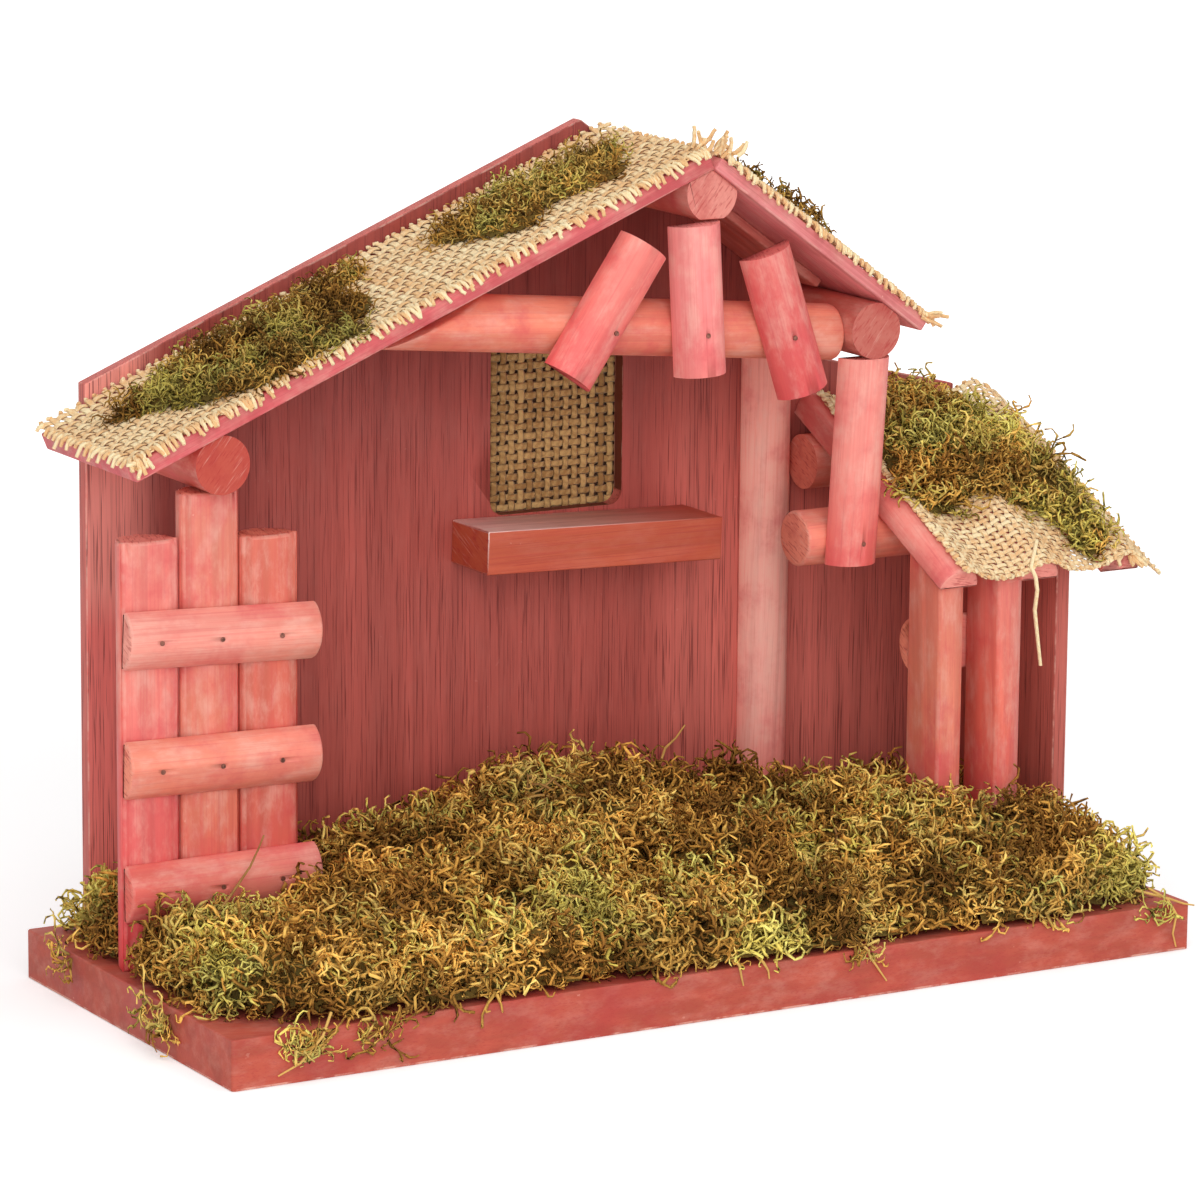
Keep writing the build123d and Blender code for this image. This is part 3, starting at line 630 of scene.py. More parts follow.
class STABLE_OT_boards(bpy.types.Operator):
    """Make the stained boards: base, walls, roof boards, batten and shelf"""

    bl_idname = "stable.boards"
    bl_label = "Boards"

    def execute(self, context):
        look = context.scene.stable_wood
        ease = look.edge_ease
        thin_ease = ease * 0.7
        end = sawn_end_material(look)
        base = wood_material("base board wood", look, look.deep_stain)
        wall = wood_material("wall wood", look, look.wall_stain, 0.5)
        roof = wood_material("roof board wood", look, look.deep_stain)
        shelf = wood_material("shelf wood", look, look.deep_stain)
        wooden_piece("base_board", [base], [srgb(186, 84, 65)], ease)
        wooden_piece("back_wall", [wall], self.wall_stain, thin_ease, UP, WALL_CELL, EAST)
        wooden_piece("lean_to_side_wall", [wall], [srgb(196, 100, 88)], thin_ease, UP)
        wooden_piece("left_roof_board", [roof], [srgb(222, 104, 108)], ease)
        wooden_piece("right_roof_board", [roof], [srgb(232, 140, 140)], ease)
        wooden_piece("right_roof_batten", [roof], [srgb(206, 110, 96)], ease)
        wooden_piece("window_shelf", [shelf, end], self.shelf_stain, ease)
        return {"FINISHED"}

    def wall_stain(self, place):
        """The wall is painted paler outside, left of the fence, as painted light, and darker upwards and to
        the left as painted shade under the roof; it is browner inside the window.
        """
        x, y, z = place
        if WALL_FRONT + CUT_INSET < y < WALL_BACK - CUT_INSET:
            in_window = WINDOW_LEFT < x < WINDOW_RIGHT and WINDOW_BOTTOM < z < WINDOW_TOP
            return srgb(104, 44, 28) if in_window else srgb(214, 112, 102)
        if y > WALL_FRONT + CUT_INSET:
            return srgb(214, 118, 106)
        # Painted light: outside the fence the wall is painted paler, most of all higher up
        if x < OUTSIDE_END:
            return srgb(246, 152, 140) if z > OUTSIDE_PAINTED_LIGHT_ABOVE else srgb(238, 124, 116)
        # Painted shade: inside the fence the wall darkens upwards and to the left, where the left roof shades
        # it
        upwards = (z - PAINTED_SHADE_BOTTOM) / PAINTED_SHADE_HEIGHT
        leftwards = (PAINTED_SHADE_RIGHT - x) / PAINTED_SHADE_WIDTH
        low = srgb(212, 110, 98) if x > LEAN_WALL_LEFT else srgb(184, 86, 76)
        return stain_along([low, srgb(156, 68, 60)], min(max(upwards, leftwards, 0.0), 1.0))

    def shelf_stain(self, place):
        """The shelf's top is painted pale, as painted light on a top that lies in the roof's shade."""
        # Painted light: a pale top in place of the light that does not reach it under the roof
        return srgb(255, 222, 212) if place.z > SHELF_TOP else srgb(196, 90, 62)


PINK = (242, 146, 134)
ORANGE = (240, 140, 112)
RED = (222, 84, 82)

# Stain of each log, from its low or left end to the other
LOG_STAINS = {
    "ridge_log": ((226, 138, 126), ORANGE, (222, 120, 100)),
    "left_eave_log": ((192, 80, 66), (226, 116, 92), ORANGE),
    "right_eave_log": ((196, 106, 94), (228, 122, 100), ORANGE),
    "tie_beam": ((226, 118, 96), (242, 142, 114), (236, 132, 108), (240, 142, 116), (238, 136, 110)),
    "gable_log_left": ((232, 98, 96), (244, 126, 116), (246, 136, 124)),
    "gable_log_middle": ((238, 130, 124), (242, 142, 138), (242, 146, 140)),
    "gable_log_right": ((214, 84, 82), (218, 96, 92), (222, 108, 102)),
    "fence_post_left": ((212, 56, 58), (228, 104, 100), (236, 130, 118), (236, 136, 122)),
    "fence_post_middle": (RED, (226, 122, 98), (228, 130, 108), (228, 134, 114)),
    "fence_post_right": (RED, (216, 102, 84), (218, 110, 90), (220, 114, 94)),
    "fence_rail_top": ((244, 156, 140), (244, 154, 138), (240, 144, 124)),
    "fence_rail_middle": ((242, 140, 116), (244, 146, 122), (244, 142, 122)),
    "fence_rail_bottom": ((226, 104, 92), (232, 128, 112), (238, 140, 124)),
    "wall_post": ((248, 126, 116), (255, 182, 166), (255, 186, 168), (252, 160, 144)),
    "hanging_post": ((232, 104, 96), (244, 146, 134), (246, 150, 138)),
    "lean_to_slat_left": (PINK, (226, 112, 104)),
    "lean_to_slat_middle": (PINK, (226, 112, 104)),
    "lean_to_slat_right": (PINK, (226, 120, 112)),
    "lean_to_log_front": ((238, 138, 116), (236, 132, 106), ORANGE),
    "lean_to_log_back": ((226, 124, 104), ORANGE),
    "lean_to_post_left": (RED, ORANGE, (236, 132, 112)),
    "lean_to_post_right": (RED, (236, 118, 98), (238, 136, 124)),
    "lean_to_rail": (ORANGE, PINK),
}


class STABLE_OT_logs(bpy.types.Operator):
    """Make the stained logs: roof logs, tie beam, gable logs, fence, posts and slats"""

    bl_idname = "stable.logs"
    bl_label = "Logs"

    def execute(self, context):
        look = context.scene.stable_wood
        materials = [wood_material("log wood", look, look.log_stain), sawn_end_material(look)]
        ease = look.edge_ease * 1.6
        for node, levels in LOG_STAINS.items():
            colours = [srgb(*level) for level in levels]
            bowed = node.startswith("fence_post")
            wooden_piece(node, materials, colours, ease, ring=8 * MM, bowed=bowed)
        return {"FINISHED"}


class STABLE_OT_nails(bpy.types.Operator):
    """Give the nails their dull steel"""

    bl_idname = "stable.nails"
    bl_label = "Nails"

    def execute(self, context):
        look = context.scene.stable_wood
        steel, nodes, shader = new_material("nail steel")
        worn = nodes.clouds(nodes.place(), 900.0, 3.0, 0.6)
        rust = rgba(srgb(88, 58, 50))
        sockets = {
            "Base Color": nodes.blend(nodes.ramp(worn, 0.4, 0.7), rgba(look.nail_steel), rust),
            "Roughness": nodes.ramp(worn, 0.3, 0.7, 0.42, 0.65),
            "Normal": nodes.bump(worn, 0.3, 0.1 * MM),
            "Metallic": 0.8,
        }
        nodes.fill(shader, sockets)
        for node in ("gable_nails", "fence_nails", "hanging_post_nail"):
            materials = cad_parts[node].data.materials
            materials.clear()
            materials.append(steel)
        return {"FINISHED"}


def weave_tree():
    """Plain weave lying flat: yarns along X over and under yarns along Y."""
    nodes, given, result = new_group(
        "Plain weave",
        "GeometryNodeTree",
        {
            "Length": 200.0 * MM,
            "Width": 60.0 * MM,
            "Pitch": 3.2 * MM,
            "Yarn width": 2.0 * MM,
            "Yarn thickness": 0.9 * MM,
            "Unevenness": 0.3 * MM,
            "Seed": 1,
            "Yarn": "Material",
        },
        {"Cloth": "Geometry"},
    )
    spans = (given["Length"], given["Width"])
    pitch = given["Pitch"]
    thickness = given["Yarn thickness"]
    joined = nodes.put("GeometryNodeJoinGeometry")
    circle = nodes.put("GeometryNodeCurvePrimitiveCircle", {"Resolution": 6, "Radius": 0.5})
    flat = nodes.put("ShaderNodeCombineXYZ", {0: given["Yarn width"], 1: thickness, 2: 1.0})
    pressed = nodes.put("GeometryNodeTransform", {"Geometry": circle, "Scale": flat})
    around = nodes.store(pressed, "around", nodes.put("GeometryNodeSplineParameter", out="Factor"))
    for run, spread, sign in ((0, 1, 1.0), (1, 0, -1.0)):
        reach = spans[run]
        count = nodes.calc("FLOOR", spans[spread] / pitch)
        spacing = spans[spread] / count
        start = nodes.put("ShaderNodeCombineXYZ", {spread: spacing * 0.5})
        offset = nodes.put("ShaderNodeCombineXYZ", {spread: spacing})
        row = nodes.put("GeometryNodeMeshLine", {"Count": count, "Start Location": start, "Offset": offset})
        kept = nodes.add("GeometryNodeCaptureAttribute", {"Geometry": row}, domain="POINT")
        kept.capture_items.new("FLOAT", "Number")
        nodes.fill(kept, {1: nodes.put("GeometryNodeInputIndex")})
        points, index = (Value(nodes, kept.outputs[key]) for key in (0, 1))
        far = nodes.put("ShaderNodeCombineXYZ", {run: reach})
        line = nodes.put("GeometryNodeCurvePrimitiveLine", {"End": far})
        fine = nodes.put("GeometryNodeResampleCurve", {"Curve": line, "Count": reach / pitch * 3.0})
        laid = nodes.put("GeometryNodeInstanceOnPoints", {"Points": points, "Instance": fine})
        loose = nodes.put("GeometryNodeRealizeInstances", {"Geometry": laid})
        place = nodes.put("GeometryNodeInputPosition")
        along = nodes.put("ShaderNodeSeparateXYZ", {0: place}, run)
        cross_pitch = reach / nodes.calc("FLOOR", reach / pitch)
        wave = nodes.calc("SINE", (along / cross_pitch + index) * math.pi)
        height = thickness * (0.75 * sign) * wave
        seeded = index * (7.31 + run) + given["Seed"]
        wander = nodes.put(
            "ShaderNodeTexNoise",
            {"Vector": place, "W": seeded, "Scale": 90.0, "Detail": 2.0, "Roughness": 0.5},
            "Color",
            noise_dimensions="4D",
        )
        stray = nodes.scale(nodes.vector("SUBTRACT", wander, (0.5, 0.5, 0.5)), given["Unevenness"] * 4.0)
        lifted = nodes.put("ShaderNodeCombineXYZ", {2: height})
        offset = nodes.vector("ADD", stray, lifted)
        moved = nodes.put("GeometryNodeSetPosition", {"Geometry": loose, "Offset": offset})
        level = nodes.put("GeometryNodeSetCurveNormal", {"Curve": moved}, mode="Z_UP")
        slub = nodes.put(
            "ShaderNodeTexNoise",
            {"Vector": place, "W": seeded + 40.0, "Scale": 120.0, "Detail": 2.0},
            noise_dimensions="4D",
        )
        thick = nodes.ramp(slub, 0.3, 0.7, 0.84, 1.14)
        measured = nodes.store(level, "along", nodes.put("GeometryNodeSplineParameter", out="Length"))
        sockets = {"W": seeded, "Scale": 1.7, "Detail": 0.0}
        tone = nodes.put("ShaderNodeTexNoise", sockets, noise_dimensions="1D")
        toned = nodes.store(measured, "tone", tone)
        nodes.fill(joined.socket.node, {0: nodes.tube(toned, around, thick)})
    nodes.fill(result, {"Cloth": nodes.smooth_mesh(joined, given["Yarn"])})
    return nodes.tree


def tube_tree():
    """Loose yarns and stalks: a tube along each curve, thick at its root."""
    nodes, given, result = new_group(
        "Loose yarns",
        "GeometryNodeTree",
        {"Paths": "Geometry", "Yarn width": 1.3 * MM, "Tip share": 0.7, "Yarn": "Material"},
        {"Yarns": "Geometry"},
    )
    factor = nodes.put("GeometryNodeSplineParameter", out="Factor")
    length = nodes.put("GeometryNodeSplineParameter", out="Length")
    measured = nodes.store(given["Paths"], "along", length)
    number = nodes.put("GeometryNodeInputIndex")
    tone = nodes.put("FunctionNodeRandomValue", {7: number, 8: 3}, 1, data_type="FLOAT")
    toned = nodes.store(measured, "tone", tone, "CURVE")
    radius = given["Yarn width"] * 0.5
    ring = nodes.put("GeometryNodeCurvePrimitiveCircle", {"Resolution": 5, "Radius": radius})
    around = nodes.store(ring, "around", factor)
    tubes = nodes.tube(toned, around, nodes.ramp(factor, 0.4, 1.0, 1.0, given["Tip share"]))
    nodes.fill(result, {"Yarns": nodes.smooth_mesh(tubes, given["Yarn"])})
    return nodes.tree


def grow(name, source, tree, values):
    """Runs a node tree on a source object and keeps its result as a plain mesh piece."""
    carrier = bpy.data.objects.new(f"{name}_source", source)
    bpy.context.scene.collection.objects.link(carrier)
    modifier = carrier.modifiers.new("Nodes", "NODES")
    modifier.node_group = tree
    for item in tree.interface.items_tree:
        if item.in_out == "INPUT" and item.name in values:
            modifier[item.identifier] = values[item.name]
    bpy.context.view_layer.update()
    graph = bpy.context.evaluated_depsgraph_get()
    mesh = bpy.data.meshes.new_from_object(carrier.evaluated_get(graph), depsgraph=graph)
    if not len(mesh.polygons):
        raise RuntimeError(f"{name} came out empty")
    mesh.name = name
    piece = bpy.data.objects.new(name, mesh)
    bpy.context.scene.collection.objects.link(piece)
    carrier.modifiers.remove(modifier)
    bpy.data.objects.remove(carrier)
    return piece


def points_of(mesh):
    """A mesh's points as an array."""
    flat = np.empty(len(mesh.vertices) * 3)
    mesh.vertices.foreach_get("co", flat)
    return flat.reshape(-1, 3)


def lay(piece, way):
    """Moves each point of a flat piece to where way puts it."""
    placed = np.array([way(*point) for point in points_of(piece.data).tolist()])
    piece.data.vertices.foreach_set("co", placed.ravel())
    piece.data.update()


def yarn_paths(paths):
    """A curve of straight-sided splines through lists of points."""
    data = bpy.data.curves.new("paths", "CURVE")
    data.dimensions = "3D"
    for path in paths:
        spline = data.splines.new("POLY")
        spline.points.add(len(path) - 1)
        for point, place in zip(spline.points, path):
            point.co = (*place, 1)
    return data


def burlap_material(name, pale, dark):
    """Twisted jute yarn: tone from yarn to yarn, spiral fibres and fuzz."""
    made, nodes, shader = new_material(name)
    place = nodes.place()
    turns = nodes.attribute("along") * (1 / (2.6 * MM)) + nodes.attribute("around")
    strands = nodes.calc("SINE", nodes.clouds(place, 500.0) * 3.0 + turns * (2 * math.pi))
    fibres = nodes.clouds(place, 2600.0, 3.0, 0.6)
    patches = nodes.clouds(place, 70.0, 3.0)
    share = nodes.attribute("tone") + (patches - 0.5) * 0.9 + (fibres - 0.5) * 1.1 + strands * 0.16
    sockets = {
        "Base Color": nodes.blend(nodes.ramp(share, 0.1, 0.95), rgba(dark), rgba(pale)),
        "Normal": nodes.bump(strands * 0.5 + fibres, 0.6, 0.2 * MM),
        "Roughness": nodes.ramp(fibres, 0.3, 0.7, 0.8, 0.95),
        "Specular IOR Level": 0.15,
        "Sheen Weight": 0.15,
    }
    nodes.fill(shader, sockets)
    return made


def paper_material():
    """Dark brown paper glued behind the window's cloth."""
    made, nodes, shader = new_material("backing paper")
    place = nodes.place()
    mottle = nodes.clouds(place, 160.0, 4.0, 0.6)
    colour = nodes.blend(mottle, rgba(srgb(70, 46, 32)), rgba(srgb(104, 72, 50)))
    normal = nodes.bump(nodes.clouds(place, 900.0, 3.0), 0.4, 0.1 * MM)
    nodes.fill(shader, {"Base Color": colour, "Normal": normal, "Roughness": 0.9})
    return made


def face_outwards(piece):
    """Turns a closed piece's faces round where they point inwards."""
    bm = opened(piece.data)
    inward = bm.calc_volume(signed=True) < 0
    bm.free()
    if inward:
        piece.data.flip_normals()


# The cloths: how far their middles are above what they lie on, how far in from a roof's front, and how deep
CLOTH_LIFT = 1.0 * MM
CLOTH_INSET = 0.2 * MM
CLOTH_DEPTH = WALL_FRONT - ROOF_FRONT - 1.0 * MM

# How far a yarn strays from its row, and the height of the ripples in the cloths
YARN_STRAY = 0.16 * MM
ROOF_RIPPLE = 0.5 * MM
LEAN_RIPPLE = 0.4 * MM

# How near to the wall the cloth starts to ride up it, and how high it gets
WALL_RISE_START = 9 * MM
WALL_RISE = 1.5 * MM

# The lean-to's cloth: where it leaves a slat, its lowest height between slats, and how it falls past the last
SLAT_REACH = SLAT_RADIUS + CLOTH_LIFT
SLAT_SHOULDER = SLAT_REACH * math.sin(math.radians(45))
SLAT_RISE = SLAT_REACH * math.cos(math.radians(45))
SAG_LOW = SLAT_RADIUS - 3.5 * MM
EDGE_FALL = 0.75
LEAN_CLOTH_START = 6.0 * MM
LEAN_CLOTH = (LEAN_LENGTH + 2.0 * MM, 84.0 * MM)
LEAN_CLOTH_STEP = 0.25 * MM
LEAN_CLOTH_STEPS = 400
LEAN_CLOTH_FINENESS = 0.84

# The cut that takes the back right corner off the lean-to's cloth
CUT_PLACE = Vector((163.5 * MM, WALL_FRONT, 0))
CUT_ANGLE = math.radians(38)

# The window's cloth, by its lower left corner and its size, and the paper behind it, by its middle and size
WINDOW_CORNER = Vector((-15.8, 70.9, 122.5)) * MM
WINDOW_CLOTH = (61.5 * MM, 70.0 * MM)
PAPER_MIDDLE = Vector((14.95, 72.4, 157.5)) * MM
PAPER_SIZE = Vector((60, 0.4, 68.5)) * MM

# How long the yarn ends along a cloth's edges are, at most
FRINGE_REACH = {
    "left_roof_burlap": 6.0 * MM,
    "right_roof_burlap": 6.0 * MM,
    "lean_to_burlap": 2.6 * MM,
    "window_burlap": 1.2 * MM,
}

# One long yarn that lies on the lean-to's cloth and hangs down past its front, in millimetres
HANGING_YARN = (
    (140.8, -18.0, 122.6),
    (137.2, -22.1, 119.9),
    (133.9, -25.4, 116.2),
    (134.1, -27.8, 113.4),
    (134.5, -28.2, 109.3),
    (133.9, -28.0, 103.0),
    (135.3, -28.0, 93.3),
    (136.7, -27.8, 85.1),
)

# Bunches of loose yarn ends: how many, where, how spread, which way and how long, in millimetres
LOOSE_ENDS = {
    "left_roof_burlap": (
        (14, (33, 5, 249), (5, 4, 1), (0.5, -0.5, 1.0), 7),
        (9, (-159, 3, 169.5), (2, 2, 1), (-0.5, -0.9, -0.7), 6),
    ),
    "right_roof_burlap": (
        (9, (38, 5, 247.5), (4, 4, 1), (0.8, -0.4, 0.6), 6),
        (5, (111, 4, 193.5), (2, 2, 1), (0.7, -0.6, -0.3), 8),
    ),
    "lean_to_burlap": ((6, (172, -25, 117), (6, 1, 1), (0.2, -0.5, -1.0), 6),),
    "window_burlap": (),
}


def slat_height(x):
    """Height of the lean-to's cloth, at its middle, above the flats of the slats."""
    for offset in SLAT_OFFSETS:
        if abs(x - offset) <= SLAT_SHOULDER:
            return math.sqrt(SLAT_REACH**2 - (x - offset) ** 2)
    for offset, following in zip(SLAT_OFFSETS, SLAT_OFFSETS[1:]):
        if offset < x < following:
            half = (following - offset) / 2 - SLAT_SHOULDER
            share = (x - (offset + following) / 2) / half
            return SAG_LOW + (SLAT_RISE - SAG_LOW) * share**2
    last = x > SLAT_OFFSETS[-1]
    edge = SLAT_OFFSETS[-1] + SLAT_SHOULDER if last else SLAT_OFFSETS[0] - SLAT_SHOULDER
    return SLAT_RISE - abs(x - edge) * EDGE_FALL


def soft_lift(x, y, size, seed):
    """Small lifts and dips of a cloth."""
    return size * noise.noise(Vector((x * 38 + seed, y * 38, seed * 0.7)))


def roof_way(roof, board, seed):
    """How a flat cloth is laid on a roof board, riding up where it meets the wall."""

    def way(x, y, z):
        rise = WALL_RISE * max(0.0, (y - CLOTH_DEPTH + WALL_RISE_START) / WALL_RISE_START) ** 2
        lift = board + CLOTH_LIFT + z + soft_lift(x, y, ROOF_RIPPLE, seed) + rise
        return roof.at(x, ROOF_FRONT + CLOTH_INSET + y, lift)

    return way


def lean_way():
    """How a flat cloth is laid over the lean-to's slats, keeping its width."""
    nudge = 0.1 * MM
    stops = [LEAN_CLOTH_START]
    for _ in range(LEAN_CLOTH_STEPS):
        here = stops[-1]
        rise = slat_height(here + nudge) - slat_height(here)
        stops.append(here + LEAN_CLOTH_STEP / math.sqrt(1 + (rise / nudge) ** 2))

    def way(x, y, z):
        place = y / LEAN_CLOTH_STEP
        index = max(0, min(int(place), len(stops) - 2))
        across = stops[index] + (stops[index + 1] - stops[index]) * (place - index)
        return LEAN_TO.at(x, across, slat_height(across) + z + soft_lift(x, y, LEAN_RIPPLE, 17))

    return way


def window_way(x, y, z):
    """How a flat cloth is hung behind the window."""
    return WINDOW_CORNER + Vector((x, -z, y))


class STABLE_OT_burlap(bpy.types.Operator):
    """Weave the burlap covers and the cloth behind the window, yarn by yarn"""

    bl_idname = "stable.burlap"
    bl_label = "Burlap"

    def execute(self, context):
        look = context.scene.stable_burlap
        tree = weave_tree()
        tubes = tube_tree()
        yarn = burlap_material("burlap yarn", look.pale_yarn, look.dark_yarn)
        window_yarn = burlap_material("window yarn", look.window_pale, look.window_dark)
        left_way = roof_way(LEFT_ROOF, LEFT_BOARD, 3)
        right_way = roof_way(RIGHT_ROOF, RIGHT_BOARD, 9)
        sheets = (
            ("left_roof_burlap", LEFT_LENGTH, CLOTH_DEPTH, left_way, 5, "left_roof_board"),
            ("right_roof_burlap", RIGHT_LENGTH, CLOTH_DEPTH, right_way, 6, "right_roof_board"),
            ("lean_to_burlap", *LEAN_CLOTH, lean_way(), 7, "lean_to_slat_middle"),
            ("window_burlap", *WINDOW_CLOTH, window_way, 8, "back_wall"),
        )
        self.backing()
        for node, length, width, way, seed, carrier in sheets:
            on_lean_to = node == "lean_to_burlap"
            in_window = node == "window_burlap"
            material = window_yarn if in_window else yarn
            fine = LEAN_CLOTH_FINENESS if on_lean_to else 1.0
            values = {
                "Length": length,
                "Width": width,
                "Pitch": look.pitch * fine,
                "Yarn width": look.yarn_width * fine,
                "Yarn thickness": look.yarn_thickness * fine,
                "Unevenness": YARN_STRAY,
                "Seed": seed,
                "Yarn": material,
            }
            cloth = grow(f"{node}_weave", bpy.data.meshes.new("seed"), tree, values)
            lay(cloth, way)
            face_outwards(cloth)
            area = length * width * self.trim(cloth) if on_lean_to else None
            hand_over(cloth, node)
            chance = random.Random(seed)
            paths = self.fringe(node, length, width, look.pitch, way, chance) + self.frays(node, chance)
            thin = look.yarn_width * (0.3 if in_window else 0.62)
            values = {"Yarn width": thin, "Tip share": 0.85, "Yarn": material}
            ends = grow(f"{node}_fringe", yarn_paths(paths), tubes, values)
            if on_lean_to:
                self.trim(ends)
            hand_over(ends)
        return {"FINISHED"}

    def backing(self):
        """The paper behind the window's cloth, slightly wavy."""
        bm = bmesh.new()
        bmesh.ops.create_cube(bm, size=1.0)
        bmesh.ops.subdivide_edges(bm, edges=bm.edges, cuts=6, use_grid_fill=True)
        for vert in bm.verts:
            wave = 0.15 * MM * noise.noise(vert.co * 4)
            vert.co = PAPER_MIDDLE + vert.co * PAPER_SIZE + NORTH * wave
        hand_over(finish_mesh(bm, "window_backing", [paper_material()]))

    def trim(self, piece):
        """Cuts the back right corner off the lean-to's cloth or fringe. Returns the share that is left."""
        bm = opened(piece.data)
        whole = sum(face.calc_area() for face in bm.faces)
        way = Vector((math.sin(CUT_ANGLE), math.cos(CUT_ANGLE), 0))
        bmesh.ops.bisect_plane(bm, geom=all_of(bm), plane_co=CUT_PLACE, plane_no=way, clear_outer=True)
        bmesh.ops.holes_fill(bm, edges=[edge for edge in bm.edges if edge.is_boundary], sides=0)
        kept = sum(face.calc_area() for face in bm.faces)
        closed(bm, piece.data)
        return kept / whole

    def frays(self, node, chance):
        """Loose yarn ends at a cloth's corners."""
        steps = 6
        paths = []
        for count, middle, spread, heading, reach in LOOSE_ENDS[node]:
            for _ in range(count):
                place = Vector([a + chance.uniform(-1, 1) * b for a, b in zip(middle, spread)]) * MM
                ahead = Vector(heading).normalized()
                size = reach * chance.uniform(0.6, 1.0) * MM
                path = [place.copy()]
                for _ in range(steps):
                    ahead = (ahead + 0.32 * Vector([chance.uniform(-1, 1) for _ in range(3)])).normalized()
                    place = place + ahead * (size / steps)
                    path.append(place.copy())
                paths.append(path)
        if node == "lean_to_burlap":
            paths.append([Vector(point) * MM for point in HANGING_YARN])
        return paths

    def fringe(self, node, length, width, pitch, way, chance):
        """Short yarn ends along the edges of a cloth, bent over what it lies on."""
        steps = 5
        tuck = 1.6 * MM
        lift = 0.5 * MM
        rest = 0.3 * MM
        paths = []
        rows = (int(length / pitch), length)
        columns = (int(width / pitch), width)
        reach = FRINGE_REACH[node]
        for (count, span), edge in ((rows, "front"), (rows, "back"), (columns, "end"), (columns, "start")):
            count *= 2 if edge == "front" and "roof" in node else 1
            for index in range(count):
                at = (index + 0.5) * span / count
                size = reach * chance.uniform(0.55, 1.0)
                sway = chance.uniform(-0.35, 0.35)
                path = []
                for step in range(steps + 1):
                    share = step / steps
                    out = size * share - tuck
                    over = max(out, 0.0)
                    fall = lift - 0.8 * max(over - 0.6 * MM, 0.0) + chance.uniform(-0.15, 0.15) * MM
                    side = at + sway * size * share + chance.uniform(-0.2, 0.2) * MM
                    spot = {
                        "front": (side, -out + 0.35 * max(over - 1.2 * MM, 0.0), fall),
                        "back": (side, width + out * 0.2, rest),
                        "end": (length + out * 0.7, side, fall * 0.8),
                        "start": (-out * 0.25, side, rest),
                    }[edge]
                    path.append(way(*spot))
                paths.append(path)
        return paths


# A sprig: a stem and three branches, each a thread of three steps through rings of three points
THREAD_STEPS = 3
RING_POINTS = 3
BRANCHES = (1, 2, 3)
SPRIG_POINTS = (1 + len(BRANCHES)) * (THREAD_STEPS + 1) * RING_POINTS
SPRIG_KINDS = 8
STEM_THICKNESS = 0.062
BRANCH_THICKNESS = 0.056


def thread(bm, chance, start, heading, length, thick, curl, tips):
    """A three-sided tapering thread that curls as it goes. Returns its points and headings."""
    tip_layer = bm.verts.layers.float["tip"]

    def any_side(count):
        return [chance.uniform(-1, 1) for _ in range(count)]

    spine = [(start.copy(), heading.copy())]
    axis = heading.cross(Vector((*any_side(2), 0.4))).normalized()
    place = start.copy()
    for _ in range(THREAD_STEPS):
        heading = (Matrix.Rotation(curl / THREAD_STEPS, 3, axis) @ heading).normalized()
        axis = (axis + Vector(any_side(3)) * 0.45).normalized()
        axis = (axis - heading * axis.dot(heading)).normalized()
        place = place + heading * (length / THREAD_STEPS)
        spine.append((place.copy(), heading.copy()))
    rings = []
    for index, (point, ahead) in enumerate(spine):
        share = index / THREAD_STEPS
        width = thick * (1 - 0.45 * share) * chance.uniform(0.75, 1.3)
        side = ahead.cross(Vector((0.3, 0.5, 0.8))).normalized()
        other = ahead.cross(side)
        ring = []
        for corner in range(RING_POINTS):
            angle = corner * 2 * math.pi / RING_POINTS + index
            made = bm.verts.new(point + (side * math.cos(angle) + other * math.sin(angle)) * width)
            made[tip_layer] = tips[0] + (tips[1] - tips[0]) * share
            ring.append(made)
        rings.append(ring)
    for first, second in zip(rings, rings[1:]):
        for corner in range(RING_POINTS):
            following = (corner + 1) % RING_POINTS
            bm.faces.new((first[corner], first[following], second[following], second[corner]))
    bm.faces.new(rings[-1])
    bm.faces.new(rings[0][::-1])
    return spine


def frond_meshes(material):
    """Curled moss sprigs, one unit long: a bent thread with shorter threads branching off it."""
    out = []
    for variant in range(SPRIG_KINDS):
        chance = random.Random(500 + variant)
        bm = bmesh.new()
        bm.verts.layers.float.new("tip")
        stem = thread(bm, chance, Vector(), UP, 1.0, STEM_THICKNESS, chance.uniform(1.2, 2.6), (0.0, 0.8))
        for index in BRANCHES:
            point, ahead = stem[index]
            side = ahead.cross(Vector((chance.uniform(-1, 1), chance.uniform(-1, 1), 0.2))).normalized()
            heading = (ahead * 0.6 + side).normalized()
            size = chance.uniform(0.5, 0.85)
            tips = (0.2 + 0.15 * index, 1.0)
            thread(bm, chance, point, heading, size, BRANCH_THICKNESS, chance.uniform(2.4, 4.2), tips)
        bmesh.ops.recalc_face_normals(bm, faces=bm.faces)
        for face in bm.faces:
            face.smooth = True
        mesh = bpy.data.meshes.new(f"sprig_{variant}")
        closed(bm, mesh)
        mesh.materials.append(material)
        out.append(mesh)
    return out


